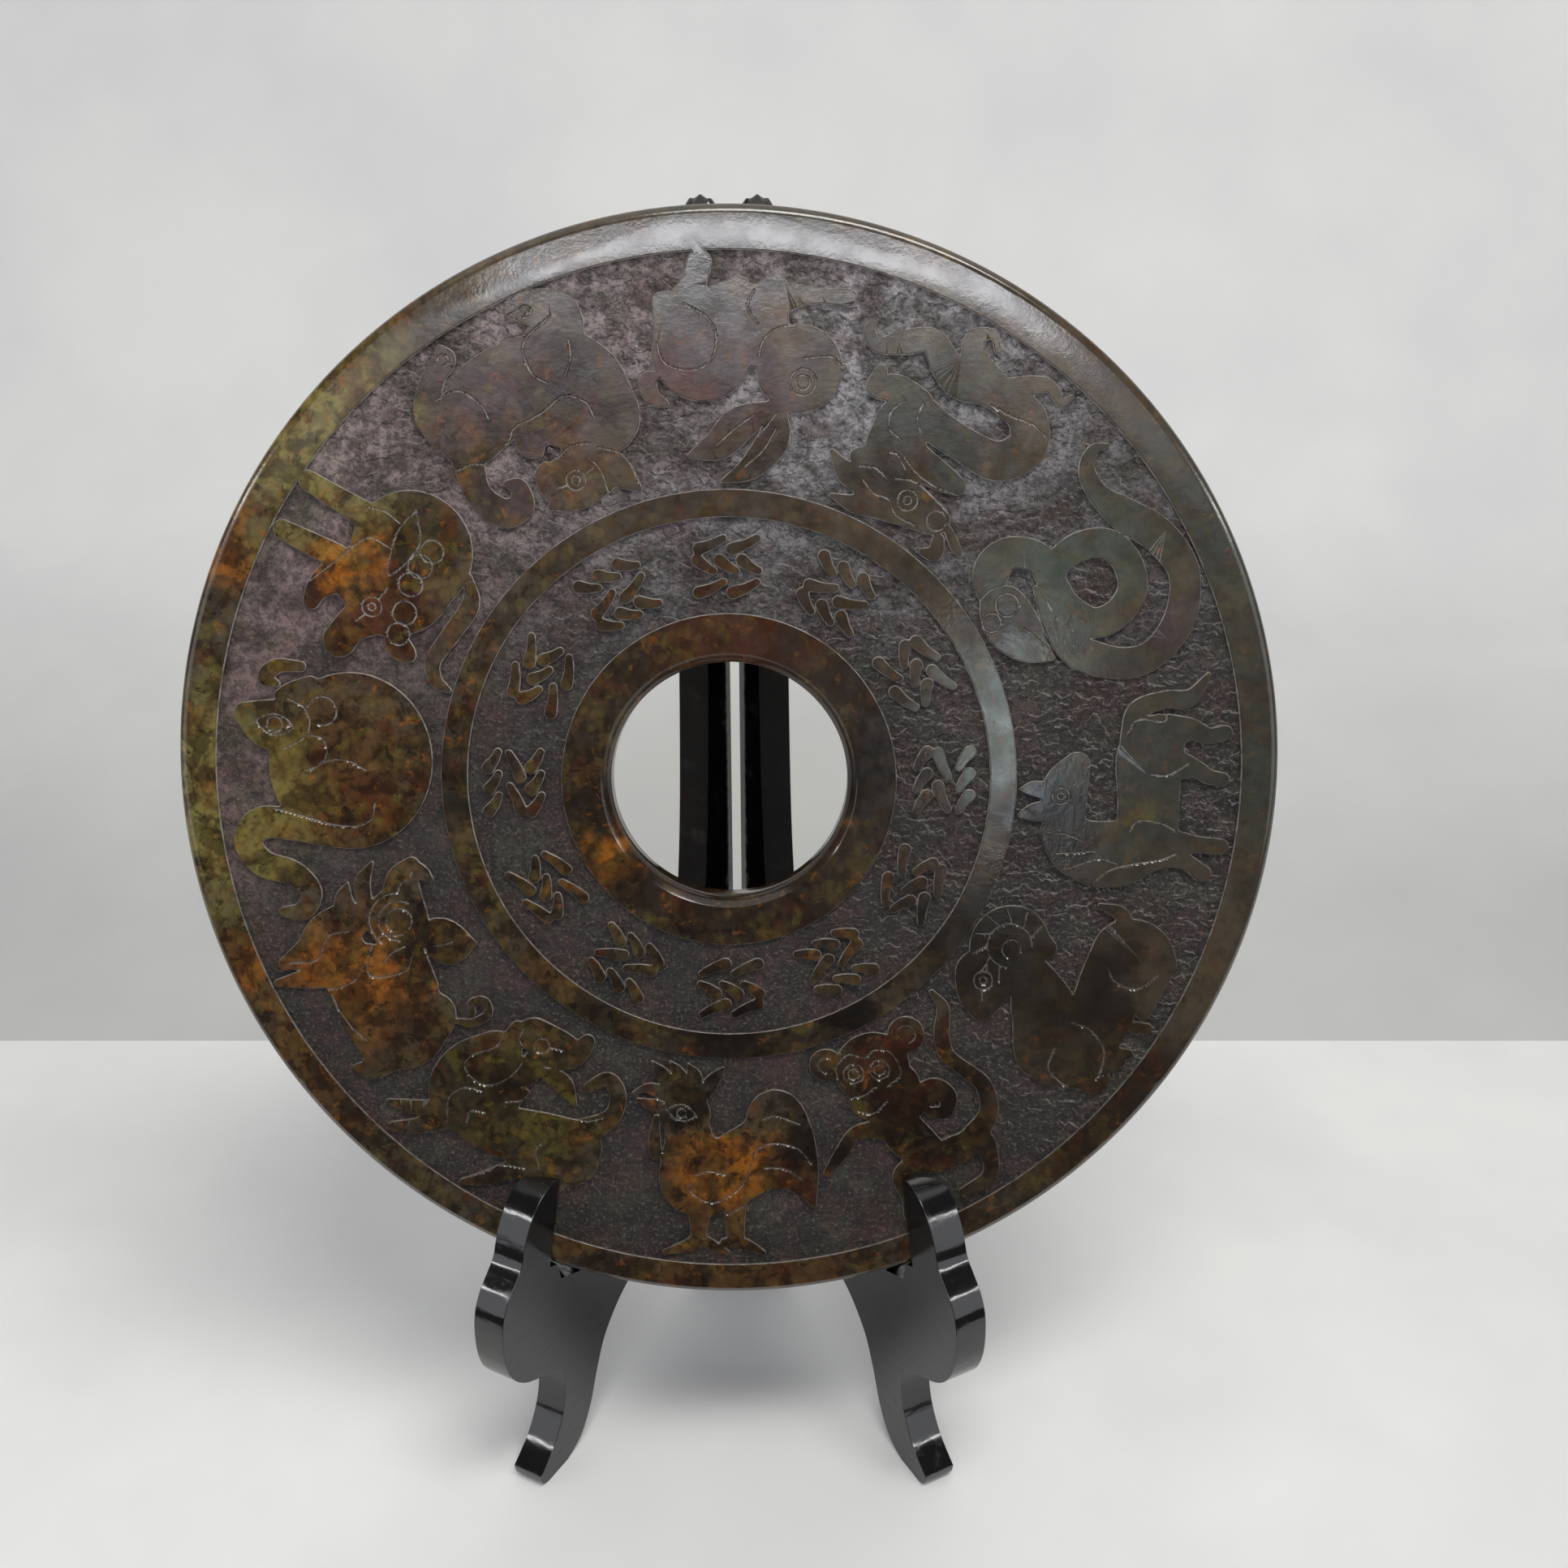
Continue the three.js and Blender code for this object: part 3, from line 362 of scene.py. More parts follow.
RABBIT = Figure(
    shapes=[
        oval(-19, -0.6, 11, 11),  # head
        limb((-22, -1, 6), (-30.8, -0.8, 0.6)),  # nose
        limb((-14, 10, 1.6), (-12, 18, 3.9), (-6, 25, 2.8), (1.2, 28.4, 0.3)),  # ear
        limb((-11, 9.6, 1.6), (-3.4, 13.6, 4.2), (2.4, 19, 3.6), (10, 21.8, 0.4)),  # far ear
        limb((-10, -6, 5), (-4, -8, 7)),  # neck
        oval(6.4, -5.4, 13, 13),  # body
        oval(-6, -12.4, 10, 9.4),  # chest
        limb((12, -8, 7), (14.4, -15, 4.6), (17, -17.6, 2.2)),  # rump
        limb((-9, -15.6, 4.4), (-17, -18.8, 3), (-24, -19, 1.7), (-31.6, -18.6, 2.1)),  # forearm
        limb((-8, -16, 5.6), (-12.6, -21.6, 2.8)),  # front leg
        limb((4, -15, 6), (-3, -20.4, 3.4)),  # belly
        limb((12, -17, 3.6), (8.4, -22.4, 3), (7, -27.4, 3)),  # hind foot
        limb((16.4, 8.4, 0.8), (19.8, 6.6, 1.9), (20.8, 2.6, 2), (18.4, 1.2, 0.7)),  # tail
    ],
    grooves=[
        *rings(-20, 3, 3.4, 1.9),
        stroke((-29.7, -1.5), (-27, -3.5), (-20, -3)),
        stroke((-13, 14.7), (-9.6, 20.4), (-4.7, 24.7)),
        stroke((-13, 11), (-8.6, 16.4), (-3, 20.5)),
        stroke((-7.2, 11.3), (-2, 15), (2.8, 19.2)),
        stroke((18.3, -7), (16.4, -2), (10, 0), (4.6, -2), (2.8, -6.2), (3, -10), (5.3, -13.7),
               (11.2, -17)),
        stroke((-8, -12), (-5.5, -16.2), (-7.2, -20.3)),
        stroke((-8.4, -3.6), (-9.6, -7.6), (-13, -10.6), (-18, -11.6)),
    ],
)

DRAGON = Figure(
    shapes=[
        limb((-12.4, 20.4, 3.8), (-5, 20.4, 5.6), (3, 20, 7.4), (8, 18, 6)),  # head
        limb((3, 24, 4), (8, 27.4, 2.2), (14.6, 28.6, 0.3)),  # horn
        limb((8, 19, 5), (13.6, 21.4, 2.8), (20.2, 18.6, 0.3)),  # mane
        limb((4, 14, 4), (9, 13.6, 3), (14, 16.4, 1.6)),  # cheek
        limb((-16, 24.6, 1.4), (-17, 28, 1.8), (-14, 29.4, 0.8)),  # snout curl
        limb((-17, 21, 0.8), (-20.6, 23.6, 1.1), (-23, 25, 0.4)),  # whisker
        limb((-13, 10, 2.2), (-8, 10, 3.4), (0, 9.4, 4.2), (4, 8, 5)),  # jaw
        limb((7, 9, 7), (7.6, 2, 6.4), (3, -1, 4.6)),  # neck
        limb((3, -0.8, 4.4), (-8, -0.2, 4.2), (-19, -1, 4.9), (-23.8, -8, 5), (-19.6, -14.6, 4.8),  # coil
             (-9, -15.8, 4), (0, -13.4, 4), (6, -15.8, 3.8), (12, -19, 2.8), (17.6, -15, 2.9),
              (23.6, -10.8, 1.6), (27.4, -13.2, 1.2), (26.9, -17, 0.2)),
        limb((7, -2.6, 4.4), (13.6, -3.6, 3.6), (18.6, -1.4, 2.2), (19.4, -5.6, 1.4)),  # foreleg
        limb((-8, -18.6, 2.4), (-0.6, -20.4, 3.2), (2.2, -25, 2.2), (-1.2, -28.2, 1),  # claw
             (-4.4, -25.4, 0.6)),
        limb((-12, -19.4, 1.8), (-17, -22.4, 2.2), (-21, -24.4, 1.4), (-25.6, -22.4, 0.9),  # hind claw
             (-27.4, -25, 0.3)),
    ],
    grooves=[
        *rings(-3.6, 19.7, 2.7, 1.1),
        circle(-13, 20.5, 2.6),
        stroke((-16, 17.6), (-9, 15.6), (-3, 14.6), (2, 16.4)),
        stroke((-14, 12.2), (-8, 13), (-2, 12.4), (3, 10.4)),
        stroke((-8.6, 24.4), (-3, 24.6), (1, 22), (5, 22.6), (9.4, 21)),
        stroke((4, 17.6), (8, 16.8), (12, 18.4)),
        stroke((6, 7), (10, 6), (11.8, 2), (10, -2)),
        stroke((1, 13), (4.5, 11), (6.8, 11.3)),
        stroke((-27, -12.5), (-22, -13.6), (-16, -12.6), (-10, -12.4)),
        stroke((2.4, 3), (5, 0), (5.6, -4)),
    ],
)

SNAKE = Figure(
    shapes=[
        limb((-14.4, 16.6, 0.6), (-8, 20.4, 4.6), (-1, 21.8, 7), (3.4, 21.6, 6.2)),  # head
        limb((6, 23.6, 2.6), (13.6, 20, 4.6), (16, 13.6, 4), (11, 7.2, 3.8), (2, 6.8, 3.4),  # neck
             (-6, 6.6, 3.4)),
        limb((-4, 6.8, 3.4), (-11.6, 2.6, 3.8), (-12.6, -4.6, 3.7), (-8.8, -11, 3.7),  # coil left
             (-1.6, -13, 3.7), (5, -10.6, 3.7), (8, -4.4, 3.6), (7.6, 2, 3.4), (6, 5, 3)),
        limb((4, 11.4, 0.6), (-7, 12.6, 2), (-17, 9.4, 4.2), (-25, 1, 4), (-27, -8, 3.7),  # outer
             (-22, -18.4, 4), (-11.6, -25, 3.9), (0, -23.6, 4.4), (9, -18.6, 4.2), (17, -15, 2.6),
              (24.4, -15, 2), (28.4, -19, 1.2), (27.6, -23, 0.2)),
    ],
    grooves=[
        circle(2, 26.2, 2.5),
        circle(4, 20.3, 3.1),
        stroke((8.7, 26), (9.7, 22), (8.7, 17.5)),
        stroke((-13.5, 16), (-8, 17.5), (-3.5, 19.5)),
    ],
)

HORSE = Figure(
    shapes=[
        limb((-9.4, 29.6, 0.3), (-8.4, 25.4, 2.2), (-8, 20, 2.6)),  # ear
        limb((-2.2, 29.2, 0.3), (-2, 25.4, 1.9), (-3, 21, 2)),  # far ear
        limb((-8, 17.4, 5.8), (-1.6, 17.2, 5.8), (4.4, 14.2, 3.4)),  # head
        limb((-13, 18, 5), (-18.6, 11, 7.6), (-18.6, 1, 7.8), (-15, -6, 7)),  # neck
        limb((-14, 21, 2.6), (-21.6, 17, 2.8), (-26.4, 9, 2.4), (-26.4, 0, 2.2),  # mane
             (-22.6, -8, 1.6)),
        limb((-14, -5.6, 8), (-4, -5.6, 8.2), (5.6, -5.4, 8.8), (10, -6.6, 8)),  # body
        limb((12, 0, 2.4), (19.4, -1.6, 2.4), (22.4, -9, 2.2), (23, -16, 2.1),  # tail
             (29.2, -20.6, 0.4)),
        limb((-20, -8, 4), (-21.6, -15, 2.2), (-25.6, -21.4, 1.9)),  # foreleg
        limb((-17, -10, 4.4), (-17.4, -18, 2.3), (-18, -25.8, 1.9)),  # near leg
        limb((5, -11, 4.4), (3.6, -18, 2.2), (1.4, -21.6, 1.8), (0.6, -25.6, 1.6)),  # hind leg
        limb((13, -9, 5.4), (14.4, -16, 2.8), (12.6, -21, 2), (13.4, -25.8, 1.8)),  # far hind
    ],
    grooves=[
        *rings(-4, 18.4, 2.3, 0.9),
        stroke((-1, 15), (1.4, 12.6), (4.3, 11.3)),
        stroke((-24, 15.5), (-21.5, 8), (-22.7, 3)),
        stroke((-20, 19.7), (-19.4, 9.7), (-21, 7)),
        stroke((-28, 9), (-24, 3), (-21.5, -9.5), (-20, -13.7)),
        stroke((-14, 22), (-14.6, 17), (-16.6, 12)),
        stroke((-14, -0.5), (-10.8, -3), (-11.5, -9), (-13.5, -13)),
        stroke((1.8, -6), (2, -11), (5, -16)),
        stroke((13, 1), (17, -2), (16.5, -9), (19.5, -9.5)),
    ],
)

GOAT = Figure(
    shapes=[
        limb((-12, 22, 6.6), (-17, 20, 5), (-20.4, 16.4, 3.2)),  # head
        limb((-18, 15.6, 3.2), (-11.4, 15.4, 3.9)),  # muzzle
        oval(-1, 19, 11.2, 10.6),  # horn
        limb((4, 14, 4), (3.4, 9.6, 2.6)),  # horn end
        limb((-6, 14, 7), (-7.4, 7, 6.8), (-12, 1, 9)),  # neck
        limb((-17, -1, 7.6), (-22, -6, 8.4), (-20.6, -13, 8)),  # chest
        limb((-20, -12, 9), (-8, -13.6, 8.8), (4, -11.6, 9.2), (10.4, -12, 10.6)),  # body
        oval(13.2, -12.6, 10.4, 11.6),  # rump
        limb((15, -20, 4.6), (7, -22.4, 2.6), (1, -23.6, 1.8)),  # hind leg
        limb((-22, -18, 4.6), (-24, -23, 1.9), (-20.6, -24.4, 1.2)),  # foreleg
        limb((-18, -22.4, 1.8), (-14.4, -24.8, 1.8)),  # hoof
        limb((-12.4, -22.6, 1.2), (-11.2, -26, 1.2)),  # far hoof
        limb((-3.6, -24, 1.6), (-2.4, -26.6, 1.4)),  # hind hoof
        limb((18.4, -7.4, 1.8), (22, -3, 1.8), (21.2, 3, 0.5)),  # tail
    ],
    grooves=[
        *rings(-13.2, 20.2, 2.6, 1),
        stroke((-15.6, 19.2), (-18, 17.6)),
        stroke((-10.6, 20.6), (-8.4, 21.8)),
        circle(-1, 19, 6.2, -60, 200),
        circle(-1.6, 18, 2.6, -80, 180),
        *[stroke((-1 + 6.2 * math.cos(a), 19 + 6.2 * math.sin(a)),
                 (-1 + 10.6 * math.cos(a + 0.2), 19 + 10.2 * math.sin(a + 0.2)))
                  for a in np.radians(range(-40, 200, 32))],
        stroke((-20, -7.2), (-26, -9), (-28, -16.5)),
        stroke((-11.2, -7.5), (-10.5, -13), (-13, -19), (-18, -21.5), (-22, -22)),
        stroke((7, -7.8), (4.8, -12), (6, -18), (12.5, -21.2)),
    ],
)

MONKEY = Figure(
    shapes=[
        oval(-6.2, 19, 10.4, 9.8),  # head
        oval(-6.6, 11, 10.2, 8),  # muzzle
        oval(-17, 26, 4.4, 4.4),  # ear
        oval(6.8, 22.6, 4.8, 5),  # far ear
        limb((-32.4, -1.8, 0.9), (-26, 1.4, 1.7), (-19, 4.4, 1.8), (-10, 0, 3)),  # arm
        limb((-8, 2, 5.4), (-7, -5, 6), (-3.4, -12.6, 4.6), (3, -14.4, 4)),  # body
        limb((-1, 3.6, 3.4), (5.4, 5, 3), (8, 1, 2.4), (5.4, -2.6, 1.8), (1.6, -0.6, 1.2)),  # far arm
        limb((-3, -13, 3.6), (-10.6, -11.6, 2.3), (-15, -13.4, 2.2), (-16, -19.6, 1.9),  # leg
             (-18, -24.6, 1.9)),
        limb((3, -14, 4), (9.6, -15, 3.4), (9.8, -20.6, 2.2), (6.6, -25.6, 1.9),  # far leg
             (-1.4, -26.4, 1.5)),
        limb((8, -13.4, 3.4), (15.8, -9, 2.5), (18.4, -1, 2.1), (15.6, 6.4, 1.9), (13.8, 12, 1.9),  # tail
             (15.6, 18, 1.9), (19.4, 24, 1.5), (19, 29.6, 0.5)),
    ],
    grooves=[
        circle(-11.5, 20, 2.8),
        circle(-4.7, 17.4, 2.8),
        circle(-11.5, 20, 1.5),
        circle(-4.7, 17.4, 1.5),
        stroke((-16, 19), (-15, 24), (-10, 25.5), (-6.5, 22.5), (-3, 23), (0.5, 20), (0, 13.5),
               (-5, 12)),
        stroke((-16, 10), (-12.5, 7), (-7, 8.5)),
        stroke((-15.6, 14), (-12, 13), (-8, 13.6)),
        circle(-17, 26, 2.2, 30, 250),
        circle(6.8, 22.6, 2.6, -100, 120),
    ],
)

FIGURES = (ROOSTER, DOG, PIG, RAT, OX, TIGER, RABBIT, DRAGON, SNAKE, HORSE, GOAT, MONKEY)


def mark_group(index):
    """Three rows of slanting chisel strokes where an inscription would stand. They spell nothing."""
    row_pitch, width, rise, filled = 5.8, 18.0, 1.4, 0.36
    strokes = []
    for row in range(3):
        count = 2 + (index + row) % 2
        y = (1 - row) * row_pitch
        pitch = width / count
        lean = 1 if row % 2 == index % 2 else -1
        for i in range(count):
            x = (i - (count - 1) / 2) * pitch
            reach = pitch * filled
            strokes.append(limb((x - reach, y - lean * rise, 0.8), (x, y + 0.3, 1.1),
                                (x + reach, y + lean * rise, 1.45)))
    return strokes


# ---- Distances on the face ----------------------------------------------------------------------

FAR = 9.0                                    # farther than any distance that matters
FIGURE_SOFTEN = 0.7                          # parts of a figure run into one another over this width
FIGURE_ROOM = (-40, -32, 40, 34)             # box that every figure lies in, in its own frame
MARKS_ROOM = (-12, -11, 12, 11)


def fade(low, high, value):
    """0 below low, 1 above high, and smooth in between."""
    t = np.clip((value - low) / (high - low), 0, 1)
    return t * t * (3 - 2 * t)


def near(box, x, y, margin):
    """Where points lie within a margin of a box."""
    return np.flatnonzero((x > box[0] - margin) & (x < box[2] + margin)
                          & (y > box[1] - margin) & (y < box[3] + margin))


def chain_distance(rows, x, y):
    """Distance to a chain of rows, less its half widths if it has any, and the way to it."""
    best = np.full(x.shape, np.inf)
    way = np.zeros((2, *x.shape))
    if rows.shape[1] == 2:
        rows = np.hstack([rows, np.zeros((len(rows), 1))])
    for a, b in zip(rows, rows[1:]):
        run = b[:2] - a[:2]
        t = ((x - a[0]) * run[0] + (y - a[1]) * run[1]) / max(run @ run, 1e-9)
        t = np.clip(t, 0, 1)
        dx = a[0] + t * run[0] - x
        dy = a[1] + t * run[1] - y
        distance = np.hypot(dx, dy) - (a[2] + t * (b[2] - a[2]))
        closer = distance < best
        best[closer] = distance[closer]
        way[:, closer] = np.stack([dx, dy])[:, closer]
    return best, way


def oval_distance(shape, x, y):
    """Distance to an oval's edge, true near the edge and growing with its size elsewhere."""
    c, s = math.cos(shape.turn), math.sin(shape.turn)
    u = (x - shape.x) * c + (y - shape.y) * s
    v = (y - shape.y) * c - (x - shape.x) * s
    scale = np.hypot(u / shape.along, v / shape.across)
    slope = np.hypot(u / shape.along**2, v / shape.across**2)
    return scale * (scale - 1) / np.maximum(slope, 1e-9)


def shape_distance(shape, x, y):
    if isinstance(shape, Oval):
        return oval_distance(shape, x, y)
    return chain_distance(shape.rows, x, y)[0]


def blend_union(a, b, soften):
    """The nearer of two distances, eased where they meet."""
    t = np.clip(0.5 + 0.5 * (b - a) / soften, 0, 1)
    return b + (a - b) * t - soften * t * (1 - t)


def figure_distance(figure, x, y):
    """Negative inside the figure, positive out on the ground."""
    distance = np.full(x.shape, FAR)
    for shape in figure.shapes:
        at = near(shape.box, x, y, 4.0)
        distance[at] = blend_union(distance[at], shape_distance(shape, x[at], y[at]), FIGURE_SOFTEN)
    for shape in figure.hollows:
        at = near(shape.box, x, y, 2.0)
        distance[at] = np.maximum(distance[at], -shape_distance(shape, x[at], y[at]))
    return distance


def place_turn(place):
    """Cosine and sine of the turn from the bottom of the disc to one of the twelve places."""
    angle = place / PLACES * math.tau
    return math.cos(angle), math.sin(angle)


def to_place(x, y, place, radius):
    """Points of the face, in the own frame of what stands at one of the twelve places."""
    c, s = place_turn(place)
    return x * c - y * s, x * s + y * c + radius


def relief_distance(x, y):
    """Distance to the carved edge: negative under polished stone, positive over sunk ground."""
    r = np.hypot(x, y)
    distance = RIM_INNER - r
    distance = np.minimum(distance, np.maximum(MID_RING[0] - r, r - MID_RING[1]))
    distance = np.minimum(distance, r - INNER_RING)
    for place, figure in enumerate(FIGURES):
        marks = Figure(mark_group(place))
        for carving, band, room in ((figure, BAND, FIGURE_ROOM), (marks, MARKS_BAND, MARKS_ROOM)):
            u, v = to_place(x, y, place, band)
            at = near(room, u, v, 0)
            distance[at] = np.minimum(distance[at], figure_distance(carving, u[at], v[at]))
    return distance


def groove_distance(x, y):
    """Distance to the nearest cut line, and the way to it in the plane of the face."""
    best = np.full(x.shape, FAR)
    way = np.zeros((2, *x.shape))
    for place, figure in enumerate(FIGURES):
        u, v = to_place(x, y, place, BAND)
        inside = near(FIGURE_ROOM, u, v, 0)
        c, s = place_turn(place)
        for line in figure.grooves:
            at = inside[near(line.box, u[inside], v[inside], 1.5)]
            distance, (du, dv) = chain_distance(line.rows, u[at], v[at])
            closer = distance < best[at]
            hit = at[closer]
            best[hit] = distance[closer]
            way[0, hit] = (du * c + dv * s)[closer]
            way[1, hit] = (dv * c - du * s)[closer]
    return best, way


# ---- Roughness of the cut ground ----------------------------------------------------------------


LATTICE = 128                                # cells before the random values repeat


def lattice_noise(x, y, cell, seed):
    """Smooth noise from -1 to 1, with a random value at every corner of a square lattice."""
    table = np.random.default_rng(seed).uniform(-1, 1, (LATTICE, LATTICE))
    u, v = x / cell, y / cell
    i, j = np.floor(u).astype(int), np.floor(v).astype(int)
    s, t = fade(0, 1, u - i), fade(0, 1, v - j)
    columns = (i % LATTICE, (i + 1) % LATTICE)
    rows = (j % LATTICE, (j + 1) % LATTICE)
    a, b, c, d = (table[column, row] for row in rows for column in columns)
    return (a * (1 - s) + b * s) * (1 - t) + (c * (1 - s) + d * s) * t


def chisel_pits(x, y, cell, seed):
    """0 in the middle of each pit of a pecked ground and about 1 on the ridges between them."""
    table = np.random.default_rng(seed).uniform(0.1, 0.9, (LATTICE, LATTICE, 2))
    u, v = x / cell, y / cell
    i, j = np.floor(u).astype(int), np.floor(v).astype(int)
    best = np.full(x.shape, FAR)
    for di in (-1, 0, 1):
        for dj in (-1, 0, 1):
            spot = table[(i + di) % LATTICE, (j + dj) % LATTICE]
            distance = (i + di + spot[..., 0] - u) ** 2 + (j + dj + spot[..., 1] - v) ** 2
            best = np.minimum(best, distance)
    return np.clip(best / 0.5, 0, 1.4)


def ground_height(x, y):
    """The pecked ground: low uneven swells and shallow pits, deeper towards the upper right."""
    warp_x = x + 1.4 * lattice_noise(x, y, 3.1, 11)
    warp_y = y + 1.4 * lattice_noise(x, y, 3.1, 12)
    pits = chisel_pits(warp_x, warp_y * 1.5, 3.6, 13)
    fine = lattice_noise(x, y, 1.3, 14)
    swell = lattice_noise(x, y, 6.5, 15)
    rough = 0.35 + 0.65 * fade(-70, 60, 0.55 * x + 0.8 * y)
    return rough * (0.26 * (pits - 0.45) + 0.17 * fine) + 0.08 * swell


def face_height(x, y, edge, groove):
    """Height of the carved face above its polished plane. The ground starts even at the foot of a
    wall and reaches its full roughness 1.5 mm on."""
    ground = -RELIEF + fade(0.1, 1.5, edge - WALL) * ground_height(x, y)
    cut = -GROOVE_DEPTH * (1 - fade(0, GROOVE_HALF, groove))
    down = fade(0, WALL, edge)
    return cut * (1 - down) + ground * down


# ---- The disc -----------------------------------------------------------------------------------

COLUMNS = 2048                   # points round the disc
ROW_STEP = 0.4                   # between rows of points on the face
DISC_TRIANGLES = 190_000         # what the surface is thinned to
TOP_PLAY = 0.26                  # a point this near the polished plane belongs to it
SHARP = {"stone": 38, "lacquered_wood": 35, "brass": 40}     # edges turned by more degrees stay sharp


def snapped_face(x, y):
    """The face's grid with its points drawn onto carved edges and cut lines, and its heights."""
    spacing = ROW_STEP * 0.52
    edge = relief_distance(x, y)
    for level in (0.0, WALL):
        at = np.flatnonzero(np.abs(edge - level) < spacing)
        px, py, step = x[at], y[at], 0.02
        slope_x = (relief_distance(px + step, py) - edge[at]) / step
        slope_y = (relief_distance(px, py + step) - edge[at]) / step
        length = np.maximum(slope_x**2 + slope_y**2, 0.25)
        x[at] -= (edge[at] - level) * slope_x / length
        y[at] -= (edge[at] - level) * slope_y / length
    groove, way = groove_distance(x, y)
    at = np.flatnonzero((groove < spacing) & (edge < -spacing))
    x[at] += way[0, at]
    y[at] += way[1, at]
    edge = relief_distance(x, y)
    groove, _ = groove_distance(x, y)
    return face_height(x, y, edge, groove)


def disc_rows():
    """The whole surface as rows of points round the disc: face, outer edge, side, back, bore."""
    angles = np.arange(COLUMNS) / COLUMNS * math.tau
    inner, outer = BORE + BORE_CHAMFER, RADIUS - EDGE

    def row(radius, height):
        lift = OUTLINE_LIFT * float(fade(80, outer, radius))
        return np.stack([radius * np.cos(angles), radius * np.sin(angles) + lift,
                         np.full(COLUMNS, height)], 1)

    radii = np.linspace(inner, outer, round((outer - inner) / ROW_STEP))
    face = np.stack([row(r, 0.0) for r in radii])
    x, y = face[1:-1, :, 0].ravel(), face[1:-1, :, 1].ravel()
    height = snapped_face(x, y)
    face[1:-1] = np.stack([x, y, height], 1).reshape(face[1:-1].shape)

    turns = np.radians(np.linspace(0, 90, 6))[1:]
    front_edge = [row(outer + EDGE * math.sin(a), EDGE * (math.cos(a) - 1)) for a in turns]
    side = [row(RADIUS, h) for h in (-4.5, -6.5)]
    back_turns = turns - turns[0]
    back_edge = [row(outer + EDGE * math.cos(a), -THICKNESS + EDGE * (1 - math.sin(a))) for a in back_turns]
    back_radii = np.linspace(outer, BORE + 0.8, 24)
    back = []
    for radius in back_radii:
        points = row(radius, -THICKNESS)
        swell = 0.12 * lattice_noise(radius * np.cos(angles), radius * np.sin(angles), 31, 21)
        points[:, 2] += np.abs(swell) * float(fade(0, 8, outer - radius))
        back.append(points)
    bore = [row(BORE + 0.25, 0.25 - THICKNESS), row(BORE, 0.8 - THICKNESS), row(BORE, -7),
            row(BORE, -BORE_CHAMFER - 0.5), row(BORE + 0.15, -BORE_CHAMFER),
            row(BORE + 1.2, -1.25), row(inner - 0.35, -0.28)]
    return np.stack([*face, *front_edge, *side, *back_edge, *back, *bore])


def closed_mesh(name, rows):
    """A mesh over rows of points, closed round the columns and round the rows."""
    count, columns, _ = rows.shape
    index = np.arange(count * columns).reshape(count, columns)
    below, beside = np.roll(index, -1, 0), np.roll(index, -1, 1)
    quads = np.stack([index, below, np.roll(below, -1, 1), beside], 2).reshape(-1, 4)
    mesh = bpy.data.meshes.new(name)
    mesh.from_pydata(rows.reshape(-1, 3), [], quads)
    return mesh


def plain_mesh(piece):
    """Turns a piece's live modifiers into its mesh."""
    depsgraph = bpy.context.evaluated_depsgraph_get()
    mesh = bpy.data.meshes.new_from_object(piece.evaluated_get(depsgraph))
    piece.modifiers.clear()
    piece.data = mesh


def finished(bm, name):
    """A mesh of what bmesh built."""
    mesh = bpy.data.meshes.new(name)
    bm.to_mesh(mesh)
    bm.free()
    return mesh


def soften(piece, slot):
    """Smooth shading, but for the edges that the material keeps sharp."""
    piece.data.shade_smooth()
    piece.data.set_sharp_from_angle(angle=math.radians(SHARP[slot]))


def show(name, mesh, material):
    """A new piece of one material."""
    piece = bpy.data.objects.new(name, mesh)
    bpy.context.collection.objects.link(piece)
    mesh.materials.clear()
    mesh.materials.append(material)
    return piece


def make_disc(material):
    """The carved stone, in one piece."""
    rows = disc_rows()
    mesh = closed_mesh("carved_disc", rows)
    piece = show("carved_disc", mesh, material)
    thin = piece.modifiers.new("thin", "DECIMATE")
    thin.ratio = DISC_TRIANGLES / (2 * len(mesh.polygons))
    plain_mesh(piece)
    # Polished tops lie in one plane, so what strayed from it is put back and shaded flat.
    points = np.empty(3 * len(piece.data.vertices))
    piece.data.vertices.foreach_get("co", points)
    height = points[2::3]
    on_top = np.abs(height) < TOP_PLAY
    on_top &= np.hypot(points[::3], points[1::3]) < RADIUS - EDGE
    height[on_top] = 0
    piece.data.vertices.foreach_set("co", points)
    piece.data.set_sharp_from_angle(angle=math.radians(SHARP["stone"]))
    corners = np.empty(len(piece.data.loops), dtype=np.int32)
    starts = np.empty(len(piece.data.polygons), dtype=np.int32)
    piece.data.loops.foreach_get("vertex_index", corners)
    piece.data.polygons.foreach_get("loop_start", starts)
    piece.data.polygons.foreach_set("use_smooth", ~np.logical_and.reduceat(on_top[corners], starts))
    piece.data.transform(DISC_POSE)
    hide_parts("bi_disc")
    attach(piece, "disc_and_left_leaf")


# ---- The stand ----------------------------------------------------------------------------------

